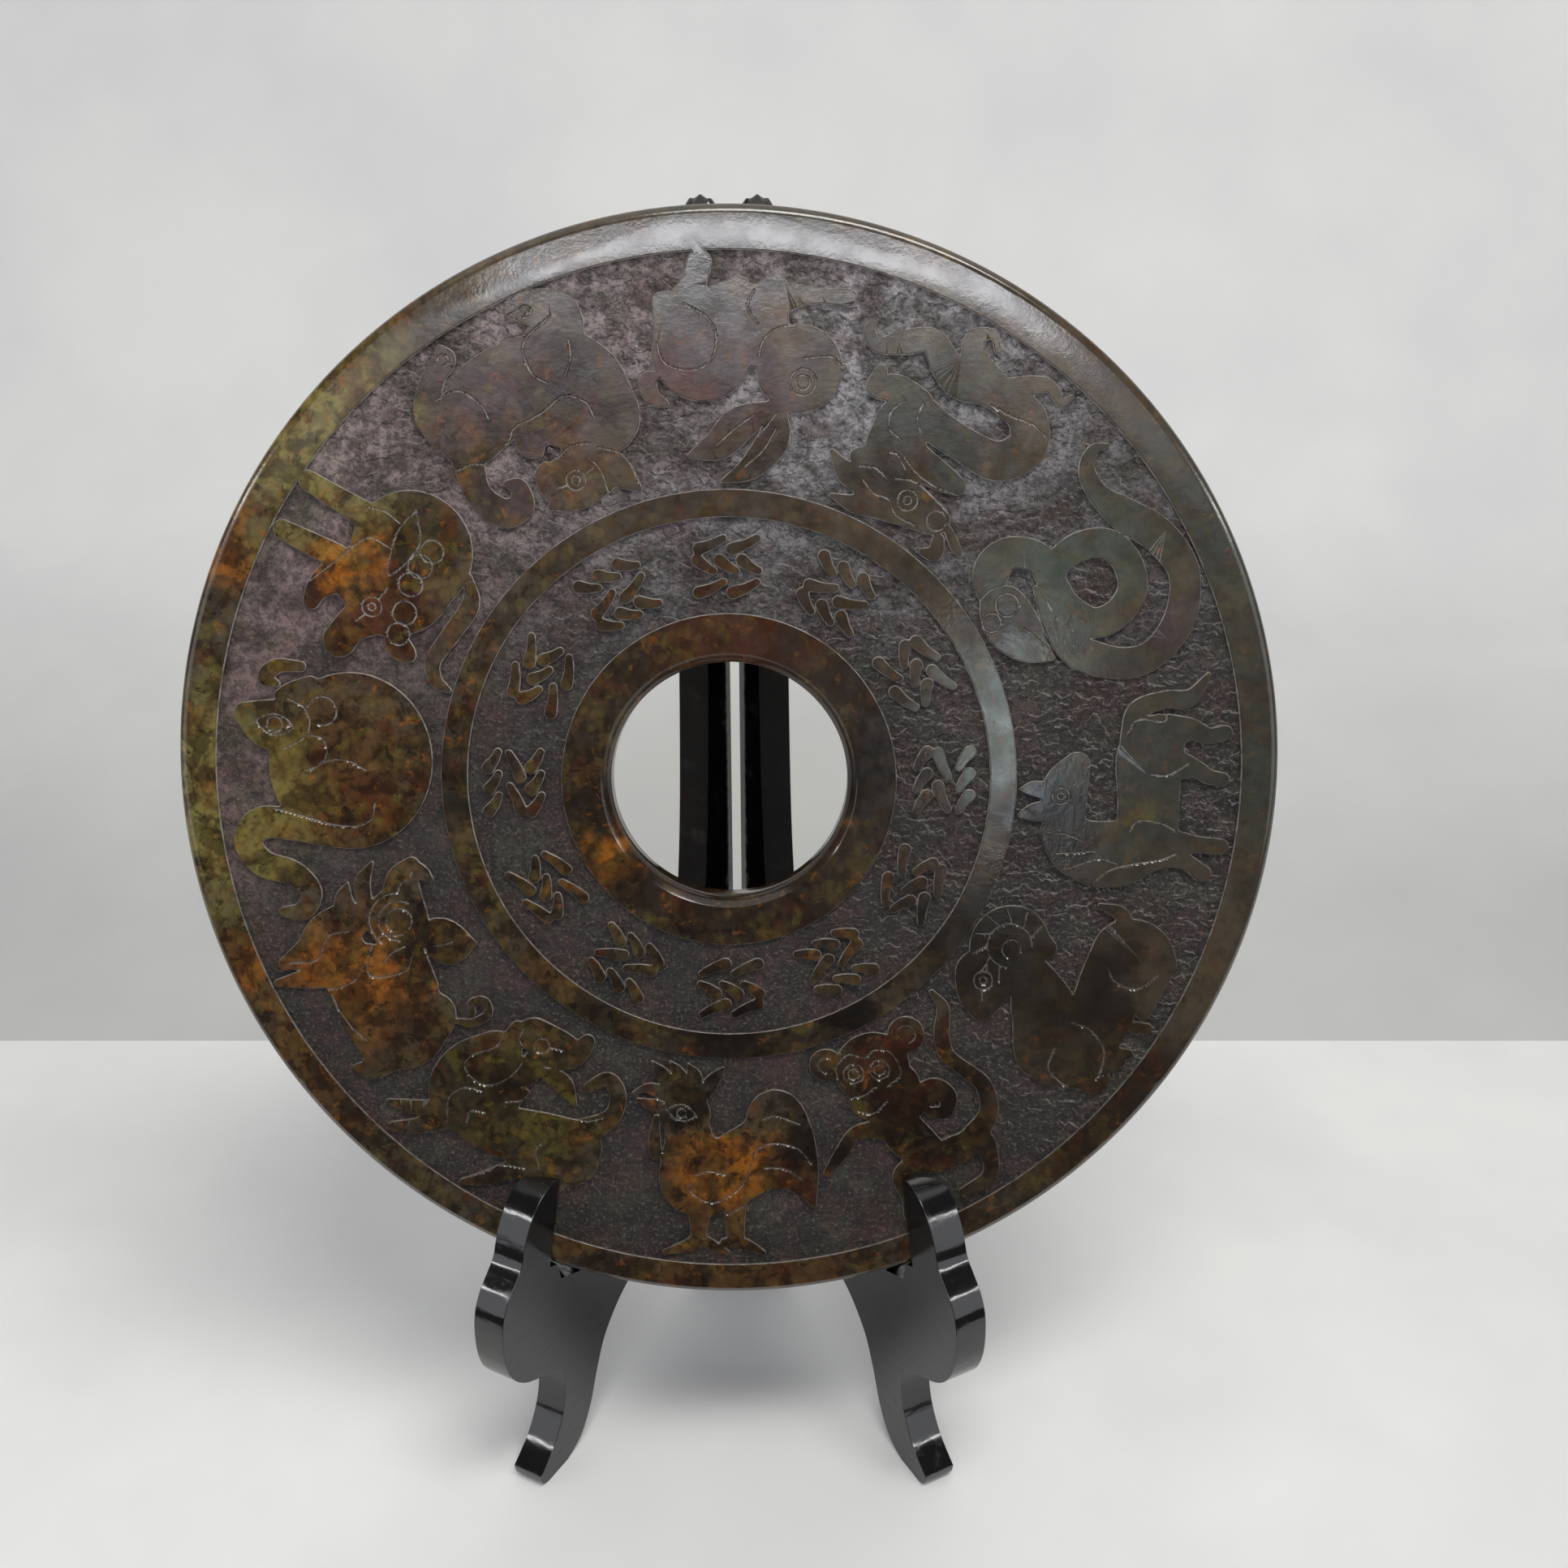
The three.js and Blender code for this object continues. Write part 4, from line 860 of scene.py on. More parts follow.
LEAF_RUNS = (
    ((0, 0), (0, 350)),                                                     # back edge
    ((0, 350), (1.4, 355.4), (4.4, 357.6), (7.2, 355)),                     # finial
    ((7.2, 355), (9.6, 354.6), (11.2, 351.6)),                              # finial's small lobe
    ((11.2, 351.6), (12.6, 349), (12, 344)),                                # shoulder
    ((12, 344), (12.6, 290), (13.6, 214), (16.8, 160), (24, 124), (40, 102), (62, 96)),   # spine
    ((62, 96), (74, 97.6), (83, 101)),                                      # behind the slot
    ((83, 101), (94, 98.8), (101, 99.6), (106.6, 98), (110.8, 94.8), (114, 90.4), (116, 86),
     (117.6, 81.8), (120.6, 78.6)),                                         # hook
    ((120.6, 78.6), (124.4, 74.6), (127, 69.4), (127.8, 63), (127.2, 55), (124.4, 48), (119, 42.6),
     (110, 38.2), (102.4, 34.6)),                                           # lobe
    ((102.4, 34.6), (101.6, 27), (103.6, 18.6), (108.6, 10.6), (116, 4.4)),     # front leg
    ((116, 4.4), (115, 1.2), (112.4, 0)),                                   # toe
    ((112.4, 0), (103, 0)),                                                 # front sole
    ((103, 0), (95.6, 3.4), (90, 11), (85.4, 22), (79.6, 32), (68, 41), (52, 45), (36, 41), (24, 32),
     (17, 18), (15, 0)),                                                    # arch
    ((15, 0), (0, 0)),                                                      # back sole
)
LAYERS = (0, 1.8, 3.0, 4.0, 5.0, 6.0, 7.0, 8.2, 10)     # through the board's thickness
ARRIS = 0.9                      # rounding of a board's edges
POCKET = ((103, 76), (100.4, 66), (91.6, 62.4), (88.6, 72))     # relief cut under the disc's edge


def leaf_pose(side):
    """From the leaf's own plane (back edge to front, up, thickness) to its place in the frame."""
    along = Vector((side * math.sin(SPREAD), -math.cos(SPREAD), 0))
    up = Vector((0, 0, 1))
    across = along.cross(up)
    turn = Matrix((along, up, across)).transposed().to_4x4()
    origin = Vector((side * BACK_GAP / 2 * MM, BACK_EDGE_Y, 0))
    return Matrix.Translation(origin) @ turn @ Matrix.Scale(MM, 4)


def slab(name, outline, layers):
    """A flat board over an outline, built up in layers."""
    bm = bmesh.new()
    top = [bm.faces.new([bm.verts.new((x, y, layers[0])) for x, y in outline])]
    for under, over in zip(layers, layers[1:]):
        raised = bmesh.ops.extrude_face_region(bm, geom=top)["geom"]
        top = [f for f in raised if isinstance(f, bmesh.types.BMFace)]
        moved = [v for v in raised if isinstance(v, bmesh.types.BMVert)]
        bmesh.ops.translate(bm, vec=(0, 0, over - under), verts=moved)
    inner = [f for f in bm.faces if len(f.verts) > 4 and min(layers) < f.verts[0].co.z < max(layers)]
    bmesh.ops.delete(bm, geom=inner, context="FACES_ONLY")
    bmesh.ops.recalc_face_normals(bm, faces=bm.faces)
    return finished(bm, name)


def dome_finial(mesh):
    """Rounds the tip over the board's thickness, as three small lobes side by side."""
    for vertex in mesh.vertices:
        x, y, z = vertex.co
        t = 2 * abs(z) / LEAF_THICKNESS - 1
        lobes = 2.4 * t * t + 0.4 * (1 - math.cos(3 * math.pi * t))
        vertex.co.y = y - lobes * float(fade(343, 356, y))


def disc_room():
    """The room the disc needs in the stand: itself with air on its two faces and below it."""
    bm = bmesh.new()
    deep = THICKNESS + 2 * SLOT_PLAY
    bmesh.ops.create_cone(bm, cap_ends=True, segments=360, radius1=RADIUS + FIT_GAP,
                          radius2=RADIUS + FIT_GAP, depth=deep)
    bm.transform(DISC_POSE @ Matrix.Translation((0, OUTLINE_LIFT, SLOT_PLAY - deep / 2)))
    return finished(bm, "disc_room")


def cut(piece, mesh):
    """Cuts a mesh out of a piece."""
    tool = show("cutter", mesh, piece.data.materials[0])
    modifier = piece.modifiers.new("cut", "BOOLEAN")
    modifier.operation = "DIFFERENCE"
    modifier.solver = "EXACT"
    modifier.object = tool
    plain_mesh(piece)
    bpy.data.objects.remove(tool)


def round_arrises(piece):
    """Rounds a board's edges."""
    bevel = piece.modifiers.new("arris", "BEVEL")
    bevel.width = ARRIS * MM
    bevel.segments = 3
    bevel.limit_method = "ANGLE"
    bevel.angle_limit = math.radians(30)
    plain_mesh(piece)


def make_leaf(side, body, material):
    """One board of the stand, cut for the disc. Side is -1 for the left, 1 for the right."""
    outline = []
    for run in LEAF_RUNS:
        line = [run[0]] if len(run) == 2 else smooth_line(run, 8, "stop")[:-1]
        outline.extend(tuple(p) for p in line)
    layers = [-side * z for z in LAYERS]
    board = slab("leaf", outline, layers)
    dome_finial(board)
    piece = show(f"lacquered_leaf_{HAND[side]}", board, material)
    piece.data.transform(leaf_pose(side))
    round_arrises(piece)
    pocket = slab("pocket", POCKET, (min(layers) - 1, max(layers) + 1))
    pocket.transform(leaf_pose(side))
    cut(piece, disc_room())
    cut(piece, pocket)
    piece.data.materials.clear()
    piece.data.materials.append(material)
    soften(piece, "lacquered_wood")
    flatten = piece.modifiers.new("flat sides", "WEIGHTED_NORMAL")
    flatten.keep_sharp = True
    plain_mesh(piece)
    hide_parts(f"stand_leaf_{HAND[side]}")
    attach(piece, body)


# ---- Nodes --------------------------------------------------------------------------------------

# Kinds of node that have the same settings each time.
KINDS = {
    "mix": ("ShaderNodeMix", {"data_type": "RGBA"}),
    "between": ("ShaderNodeMix", {"data_type": "FLOAT"}),
    "ramp": ("ShaderNodeMapRange", {"interpolation_type": "SMOOTHSTEP"}),
    "noise": ("ShaderNodeTexNoise", {}),
    "cells": ("ShaderNodeTexVoronoi", {}),
    "channels": ("ShaderNodeSeparateColor", {}),
    "plus": ("ShaderNodeMath", {"operation": "ADD"}),
    "minus": ("ShaderNodeMath", {"operation": "SUBTRACT"}),
    "times": ("ShaderNodeMath", {"operation": "MULTIPLY"}),
    "moved": ("ShaderNodeVectorMath", {"operation": "ADD"}),
}


def feed(tree, socket, value):
    """Gives a socket a value, or a link from a socket or from a node's first live output."""
    if isinstance(value, bpy.types.Node):
        value = next(output for output in value.outputs if output.enabled)
    if isinstance(value, bpy.types.NodeSocket):
        tree.links.new(value, socket)
    else:
        socket.default_value = value


def add(tree, kind, *values, given=None, **settings):
    """Adds a node with its settings. Values feed its live sockets in order, given ones by name."""
    kind, usual = KINDS.get(kind, (kind, {}))
    node = tree.nodes.new(kind)
    for name, value in {**usual, **settings}.items():
        setattr(node, name, value)
    live = [socket for socket in node.inputs if socket.enabled]
    for socket, value in zip(live, values):
        feed(tree, socket, value)
    for name, value in (given or {}).items():
        feed(tree, node.inputs[name], value)
    return node


# ---- The hinges ---------------------------------------------------------------------------------


def barrel(bm, low, high, radius, sides=28):
    """A short round bar along the pin's line, its two ends a little rounded."""
    soft = 0.25
    loops = []
    for z, r in ((low, radius - soft), (low + soft, radius), (high - soft, radius), (high, radius - soft)):
        loops.append([bm.verts.new((r * math.cos(a), PIN_BEHIND + r * math.sin(a), z))
                      for a in np.arange(sides) / sides * math.tau])
    bm.faces.new(loops[0][::-1])
    bm.faces.new(loops[-1])
    for under, over in zip(loops, loops[1:]):
        for i in range(sides):
            j = (i + 1) % sides
            bm.faces.new((under[i], under[j], over[j], over[i]))


def plate_mesh(side, middle, spans):
    """A plate on the leaf's back edge, with its own barrels round the pin."""
    low = middle - HINGE_LENGTH / 2
    width, deep = HINGE_PLATE
    near_edge, far_edge = (0.6, width) if side < 0 else (-width, -0.6)
    bm = bmesh.new()
    bmesh.ops.create_cube(bm, size=1)
    bmesh.ops.scale(bm, vec=(deep, HINGE_LENGTH, far_edge - near_edge), verts=bm.verts)
    bmesh.ops.translate(bm, vec=(-FIT_GAP - deep / 2, middle, (near_edge + far_edge) / 2), verts=bm.verts)
    bmesh.ops.bevel(bm, geom=bm.edges[:], offset=0.22, segments=2, affect="EDGES")
    bm.transform(leaf_pose(side))
    knuckles = bmesh.new()
    for a, b in spans:
        barrel(knuckles, low + a, low + b, BARREL)
    knuckles.transform(PIN_POSE)
    bm.from_mesh(finished(knuckles, "knuckles"))
    return finished(bm, "plate")


def pin_mesh(middle):
    """The pin through both plates' barrels, with a round button at each end."""
    half = HINGE_LENGTH / 2
    bm = bmesh.new()
    barrel(bm, middle - half - 1.2, middle + half + 1.2, PIN)
    barrel(bm, middle - half - 1.3, middle - half - FIT_GAP, PIN_BUTTON)
    barrel(bm, middle + half + FIT_GAP, middle + half + 1.3, PIN_BUTTON)
    bm.transform(PIN_POSE)
    return finished(bm, "pin")


def screw_tree(material):
    """Geometry nodes: a slotted screw head, drawn in millimetres, on every point of the plates."""
    tree = bpy.data.node_groups.new("slotted screws", "GeometryNodeTree")
    node = partial(add, tree)
    sizes = {"Head Radius": 1.25, "Head Height": 0.3, "Slot Width": 0.35, "Slot Length": 3.2}
    tree.interface.new_socket("Geometry", in_out="INPUT", socket_type="NodeSocketGeometry")
    for name, value in sizes.items():
        tree.interface.new_socket(name, in_out="INPUT", socket_type="NodeSocketFloat").default_value = value
    tree.interface.new_socket("Turn", in_out="INPUT", socket_type="NodeSocketRotation")
    tree.interface.new_socket("Geometry", in_out="OUTPUT", socket_type="NodeSocketGeometry")
    asked = node("NodeGroupInput").outputs
    head = node("GeometryNodeMeshCylinder", given={"Vertices": 20, "Radius": asked["Head Radius"],
                                                   "Depth": asked["Head Height"]})
    size = node("ShaderNodeCombineXYZ", asked["Slot Length"], asked["Slot Width"], asked["Head Height"])
    slot_bar = node("GeometryNodeMeshCube", size)
    lift = node("ShaderNodeCombineXYZ", given={"Z": asked["Head Height"]})
    raised = node("GeometryNodeTransform", given={"Geometry": slot_bar, "Translation": lift})
    slotted = node("GeometryNodeMeshBoolean", head, raised, operation="DIFFERENCE", solver="EXACT")
    any_turn = node("FunctionNodeRandomValue", (0, 0, 0), (0, 0, math.pi), given={"Seed": 3},
                    data_type="FLOAT_VECTOR")
    turn = node("FunctionNodeRotateRotation", asked["Turn"], any_turn, rotation_space="LOCAL")
    placed = node("GeometryNodeInstanceOnPoints", given={
        "Points": asked["Geometry"], "Instance": slotted, "Rotation": turn, "Scale": (MM, MM, MM)})
    real = node("GeometryNodeRealizeInstances", placed)
    painted = node("GeometryNodeSetMaterial", given={"Geometry": real, "Material": material})
    node("NodeGroupOutput", painted)
    return tree


def make_screws(side, body, tree, material):
    """Two slotted screws in each of a leaf's plates."""
    width, deep = HINGE_PLATE
    across = width * 0.62 * (1 if side < 0 else -1)
    spots = [(-FIT_GAP - deep, middle + reach, across) for middle in HINGE_HEIGHTS for reach in SCREW_SPOTS]
    mesh = bpy.data.meshes.new("screw spots")
    mesh.from_pydata([leaf_pose(side) @ Vector(spot) for spot in spots], [], [])
    piece = show(f"screws_{HAND[side]}", mesh, material)
    modifier = piece.modifiers.new("screws", "NODES")
    modifier.node_group = tree
    outward = leaf_pose(side).to_3x3() @ Vector((-1, 0, 0))
    turn = outward.to_track_quat("Z", "Y").to_euler()
    names = {item.name: item.identifier for item in tree.interface.items_tree if item.in_out == "INPUT"}
    modifier[names["Turn"]] = tuple(turn)
    plain_mesh(piece)
    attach(piece, body)


def make_hinges(material):
    """Two butt hinges: the left plate has the two outer barrels, the right plate the middle one."""
    third = HINGE_LENGTH / 3
    outer = ((0, third - 0.2), (2 * third + 0.2, HINGE_LENGTH))
    inner = ((third + 0.2, 2 * third - 0.2),)
    for place, middle in zip(("lower", "upper"), HINGE_HEIGHTS):
        pieces = (
            ("plate_left", plate_mesh(-1, middle, outer), "disc_and_left_leaf"),
            ("plate_right", plate_mesh(1, middle, inner), "right_leaf"),
            ("pin", pin_mesh(middle), "disc_and_left_leaf"),
        )
        for kind, mesh, body in pieces:
            piece = show(f"brass_hinge_{place}_{kind}", mesh, material)
            soften(piece, "brass")
            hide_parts(f"hinge_{place}_{kind}")
            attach(piece, body)


# ---- Materials ----------------------------------------------------------------------------------

PER_METRE = (1000, 1000, 1000)               # object coordinates, in metres, to millimetres
AWAY = Vector((17, 5, 0))                    # a step to where the same noise has other values


def colour(code):
    """Linear RGBA from an sRGB hex value."""
    parts = [int(code[i:i + 2], 16) / 255 for i in (1, 3, 5)]
    return (*(c / 12.92 if c <= 0.04045 else ((c + 0.055) / 1.055) ** 2.4 for c in parts), 1.0)


def new_material(name, **uniform):
    """A material with one Principled shader, whose given sockets are the same all over."""
    material = bpy.data.materials.new(name)
    material.use_nodes = True
    tree = material.node_tree
    shader = tree.nodes["Principled BSDF"]
    for key, value in uniform.items():
        shader.inputs[key.replace("_", " ")].default_value = value
    return material, tree, shader


# Tones that the stone runs through. The pale grey-green tone is partly the stone's own and partly painted
# sheen.
TONES = {
    "ink": "#080504", "umber": "#1a0f0a", "rust": "#451b0b", "amber": "#8c5314",
    "bronze": "#4d361c", "olive": "#2c270f", "moss": "#524c20", "gold": "#6f6738",
    "slate": "#323430", "sage": "#3b443f", "frost_and_sheen": "#58625d", "mauve": "#433439",
}

# Where each tone gathers on the face: x, y, reach, tone, strength. Figure by figure, clockwise from the
# bottom, and then the rim and the rings.
FIELDS = (
    (0, 0, 84, "umber", 0.7), (0, -140, 40, "bronze", 0.9), (-2, -112, 15, "amber", 0.95),
    (22, -104, 14, "ink", 0.75), (16, -116, 9, "rust", 0.8), (-13, -92, 9, "ink", 0.7),
    (-58, -92, 27, "olive", 0.8), (-48, -96, 13, "moss", 0.8), (-66, -84, 8, "umber", 0.7),
    (-104, -56, 21, "amber", 0.75), (-84, -44, 13, "umber", 0.8), (-92, -66, 8, "umber", 0.7),
    (-108, 0, 27, "bronze", 0.85), (-98, -4, 12, "rust", 0.6), (-90, -10, 7, "moss", 0.9),
    (-118, 12, 10, "umber", 0.7), (-98, 50, 25, "rust", 0.7), (-104, 60, 12, "amber", 0.85),
    (-82, 64, 12, "olive", 0.85), (-58, 92, 27, "mauve", 0.8), (-44, 106, 13, "umber", 0.8),
    (-66, 84, 11, "olive", 0.7), (-42, 86, 10, "bronze", 0.7), (-2, 110, 28, "mauve", 0.8),
    (-14, 106, 10, "rust", 0.6), (6, 92, 14, "umber", 0.7), (14, 120, 9, "bronze", 0.6),
    (52, 94, 28, "slate", 0.9), (44, 82, 12, "umber", 0.6), (92, 58, 28, "sage", 0.8),
    (120, 44, 12, "mauve", 0.8), (104, 0, 30, "slate", 0.95), (88, -14, 16, "ink", 0.6),
    (112, -8, 6, "moss", 0.9), (92, -54, 30, "ink", 0.6), (54, -96, 29, "umber", 1.0),
    (50, -92, 12, "ink", 0.6), (46, -84, 14, "rust", 0.6), (-146, -6, 38, "gold", 0.9),
    (-122, -84, 22, "bronze", 0.9), (-136, -52, 12, "amber", 0.7), (-112, 94, 34, "gold", 0.8),
    (-134, 62, 10, "amber", 0.6), (0, 146, 46, "slate", 0.5), (146, 10, 46, "slate", 0.9),
    (134, 62, 22, "slate", 0.9), (120, 84, 30, "slate", 0.7), (112, -100, 36, "umber", 0.7),
    # The pale grey-green on the right of the middle ring is partly its own colour and partly painted sheen.
    (74, 16, 24, "frost_and_sheen", 0.8), (92, 2, 16, "slate", 0.9), (62, -44, 22, "ink", 0.6),
    (0, -75, 13, "ink", 0.85), (-36, -65, 12, "ink", 0.5), (34, -66, 12, "ink", 0.8),
    (-52, -54, 14, "bronze", 0.6), (-34, -22, 10, "amber", 0.8), (0, 40, 22, "rust", 0.4),
    (40, 2, 14, "ink", 0.7), (74, 42, 10, "umber", 0.5), (-75, 0, 10, "ink", 0.5),
)


def gather(tree, place, tint, fields):
    """Lays fields of tone over a tint."""
    for x, y, reach, tone, strength in fields:
        away = add(tree, "ShaderNodeVectorMath", place, (x, y, 0), operation="DISTANCE")
        share = add(tree, "ramp", away, reach * 1.2, reach * 0.4, 0.0, strength)
        tint = add(tree, "mix", share, tint, colour(TONES[tone]))
    return tint


def mottled_stone(tree, place, warm):
    """The stone's colour: fields of tone under mottles, grains and seams. One field, pale grey-green on
    the middle ring, is partly painted sheen.
    """
    node = partial(add, tree)

    # Two warps, 12 mm and 4 mm, give every field a ragged, drawn-out edge.
    warped = place
    for size, reach in ((12, 30), (4, 9)):
        drift = node("noise", place, 1 / size, 4, 0.55).outputs["Color"]
        centred = node("ShaderNodeVectorMath", drift, (0.5, 0.5, 0.5), operation="SUBTRACT")
        drawn = node("ShaderNodeVectorMath", centred, (reach, reach, 0), operation="MULTIPLY")
        warped = node("moved", warped, drawn)

    clouds = node("ramp", node("noise", place, 1 / 24, 5, 0.55), 0.4, 0.6)
    tint = node("mix", clouds, colour("#332c24"), colour("#443d33"))
    tint = gather(tree, warped, tint, [field for field in FIELDS if field[3] != "ink"])

    # Mottles 5 to 12 mm across, strongest where the stone is warm.
    for step, size, low, high, tone, strength in (
            (11, 9, 0.50, 0.64, "bronze", 0.6), (23, 12, 0.52, 0.62, "rust", 0.6),
            (0, 10, 0.47, 0.57, "umber", 0.7), (29, 7, 0.56, 0.67, "moss", 0.55),
            (37, 5, 0.58, 0.68, "amber", 0.5), (51, 5, 0.56, 0.64, "ink", 0.7)):
        spots = node("noise", node("moved", place, step * AWAY), 1 / size, 6, 0.66, given={"Distortion": 0.4})
        share = node("times", node("ramp", spots, low, high, 0.0, strength), warm)
        tint = node("mix", share, tint, colour(TONES[tone]))

    # Grains 2 to 3 mm across, each a little lighter or darker, with dark seams between.
    grain_place = node("moved", place, node("noise", place, 1 / 2.5, 3, 0.55).outputs["Color"])
    grains = node("cells", grain_place, 1 / 2.4)
    broad = node("noise", node("moved", place, 61 * AWAY), 1 / 14, 3, 0.55)
    golden = node("ramp", broad, 0.45, 0.6, 0.02, 0.25)
    lit = node("times", node("times", node("channels", grains.outputs["Color"]), golden), warm)
    tint = node("mix", lit, tint, colour("#7f6a30"))
    seams = node("ramp", grains, 0.4, 0.8, 0.0, 0.35)
    tint = node("mix", node("times", seams, warm), tint, colour(TONES["ink"]))
    tint = gather(tree, warped, tint, [field for field in FIELDS if field[3] == "ink"])
    cloudy = node("ramp", node("noise", place, 1 / 1.4, 5, 0.75), 0.3, 0.7, 0.0, 0.5)
    return node("mix", cloudy, tint, colour("#b3aa98"), blend_type="SOFT_LIGHT")


def ground_tone_and_shading(tree, place, across, up):
    """Tone of the ground, which holds dust: paler up the face as painted sheen and near black at the
    bottom as painted shade, darker to the right, a pale mauve at the upper left, with drifts of moss grey,
    wine and brown."""
    node = partial(add, tree)
    # Painted shade and sheen: the ground is painted near black at the bottom of the face and pale at the top.
    tint = node("mix", node("ramp", up, -130, 20), colour("#151110"), colour("#322e2f"))
    tint = node("mix", node("ramp", up, 10, 130), tint, colour("#b3b1b5"))
    tint = node("mix", node("ramp", across, 30, 120, 0.0, 0.5), tint, colour("#1f1d1b"))
    left_up = node("minus", up, across)
    tint = node("mix", node("ramp", left_up, 60, 150, 0.0, 0.65), tint, colour("#8f7472"))
    for step, tone in ((5, "#2d2f27"), (9, "#4a2b30"), (13, "#1d1916"),
                       (17, "#3d3d30"), (21, "#3c2420")):
        drifts = node("noise", node("moved", place, step * AWAY), 1 / 15, 6, 0.65)
        tint = node("mix", node("ramp", drifts, 0.5, 0.62, 0.0, 0.6), tint, colour(tone))
    return tint


def chisel_flakes(tree, place, coarse):
    """Heights of flakes that lie over one another, and the step down from each flake's upper side."""
    node = partial(add, tree)
    flat = node("ShaderNodeMapping", place, given={"Scale": (0.8, 1.15, 1)})
    drift = node("noise", flat, 1 / 2.4, 3, 0.55).outputs["Color"]
    ragged = node("ShaderNodeVectorMath", drift, (2.2, 2.2, 0), flat, operation="MULTIPLY_ADD")
    above = node("moved", ragged, (0.1, 0.42, 0))
    heights = []
    for spot in (ragged, above):
        total = 0.0
        for size, rise in ((2.7, 0.6), (1.4, 0.4)):
            level = node("channels", node("cells", spot, 1 / size).outputs["Color"])
            total = node("plus", total, node("times", level, rise))
        heights.append(total)
    return node("times", heights[0], coarse), node("times", node("minus", *heights), coarse)


def polished_carved_jade():
    """Dark mottled jade: waxed and polished on top, where it takes a soft gloss, over a pecked matt
    ground that holds pale dust, which the eye reads as grey-mauve. Painted sheen makes it paler towards
    the top and painted shade darker towards the bottom, and each chisel flake has a painted highlight
    and painted shade."""
    material, tree, shader = new_material("polished carved jade", IOR=1.61)
    node = partial(add, tree)
    face = DISC_POSE.inverted()
    place = node("ShaderNodeMapping", node("ShaderNodeTexCoord").outputs["Object"], face.to_translation(),
                 face.to_euler(), PER_METRE)
    across, up, height = node("ShaderNodeSeparateXYZ", place).outputs

    # The stone is warm towards the left and the bottom. Its colour is then multiplied paler towards the
    #     # top as painted sheen, and darker towards the bottom as painted shade.
    leaning = node("plus", node("times", across, -0.75), node("times", up, -0.55))
    body = mottled_stone(tree, place, node("ramp", leaning, -70, 60, 0.3, 1.0))
    body = node("mix", 1.0, body, node("ramp", up, -130, 130, 0.75, 1.3), blend_type="MULTIPLY")

    # Only the carved field has sunk ground: its edge, bore and back are polished like the tops.
    radius = node("ShaderNodeVectorMath", node("ShaderNodeCombineXYZ", across, up), operation="LENGTH")
    carved = node("times", node("ramp", radius, 141.5, 140.5), node("ramp", radius, 36, 37))
    carved = node("times", carved, node("ramp", height, -2.6, -2.1))
    sunk = node("times", node("ramp", height, -0.25, -0.8), carved)
    # The ground's colour: pale dust, with the painted sheen and shade laid on by the ground tones.
    ground_dust_and_shading = node("mix", 0.85, body, ground_tone_and_shading(tree, place, across, up))

    # Chisel flakes 1 to 3 mm across, deeper towards the upper right.
    # Painted highlight on each flake's upper edge, and painted shade under its lower one.
    right_up = node("plus", node("times", across, 0.7), node("times", up, 0.7))
    flakes, step = chisel_flakes(tree, place, node("ramp", right_up, -70, 40, 0.12, 1.0))
    grit = node("noise", place, 1.0, 4, 0.75)
    specks = node("noise", node("moved", place, 3 * AWAY), 1 / 2, 5, 0.75)
    for share, tone in ((node("ramp", specks, 0.42, 0.58, 0.0, 0.6), "#120e0d"),
                        (node("ramp", grit, 0.52, 0.7, 0.0, 0.35), "#8b8176"),
                        # painted shade under each flake, then a painted highlight on its upper edge
                        (node("ramp", step, -0.05, -0.35, 0.0, 0.7), "#0d0b0a"),
                        (node("ramp", step, 0.06, 0.4, 0.0, 0.5), "#8d8885")):
        ground_dust_and_shading = node("mix", share, ground_dust_and_shading, colour(tone))
    surface = node("mix", sunk, body, ground_dust_and_shading)

    # Pale dust caught in cut lines and down the carved edges, painted paler towards the top as painted sheen.
    lip = node("times", node("ramp", height, -0.14, -0.32), node("ramp", height, -0.95, -0.6))
    lip = node("times", lip, carved)
    thick = node("ramp", node("noise", node("moved", place, 7 * AWAY), 1 / 3, 3, 0.55), 0.3, 0.65, 0.15, 0.75)
    dust = node("mix", node("ramp", up, -110, 60), colour("#6b645b"), colour("#9a938c"))
    feed(tree, shader.inputs["Base Color"], node("mix", node("times", lip, thick), surface, dust))

    gloss = node("ramp", node("noise", place, 1 / 7, 3, 0.55), 0.3, 0.7, 0.11, 0.2)
    feed(tree, shader.inputs["Roughness"], node("between", sunk, gloss, 0.5))
    feed(tree, shader.inputs["Specular IOR Level"], node("between", sunk, 0.5, 0.3))

    skin = node("times", node("noise", place, 1 / 1.6, 3, 0.65), 0.03)
    sway = node("times", node("noise", place, 1 / 24, 1, 0.55), 0.15)
    chipped = node("plus", node("times", flakes, 0.8), node("times", grit, 0.9))
    relief = node("between", sunk, node("plus", skin, sway), chipped)
    feed(tree, shader.inputs["Normal"], node("ShaderNodeBump", given={"Height": relief, "Distance": MM}))
    return material


def black_lacquer_on_wood():
    """Hardwood under brushed black lacquer: deep gloss, rippled by the brush across each edge, with
    fine dust and rubbed places where the gloss goes dull."""
    material, tree, shader = new_material("black lacquer on wood", IOR=1.7, Base_Color=colour("#0b0a0b"))
    node = partial(add, tree)
    place = node("ShaderNodeTexCoord").outputs["Object"]
    even = node("ShaderNodeMapping", place, given={"Scale": PER_METRE})
    wide = node("ShaderNodeMapping", place, given={"Scale": (250, 250, 1000)})
    ripples = node("times", node("noise", wide, 1 / 3.2, 2, 0.5), 0.12)
    dust = node("times", node("noise", even, 1 / 0.9, 4, 0.7), 0.012)
    scuffs = node("times", node("ramp", node("noise", even, 1 / 8, 5, 0.68), 0.54, 0.7), 0.55)
    feed(tree, shader.inputs["Roughness"], node("between", scuffs, 0.1, 0.38))
    bump = node("ShaderNodeBump", given={"Height": node("plus", ripples, dust), "Distance": MM})
    feed(tree, shader.inputs["Normal"], bump)
    return material


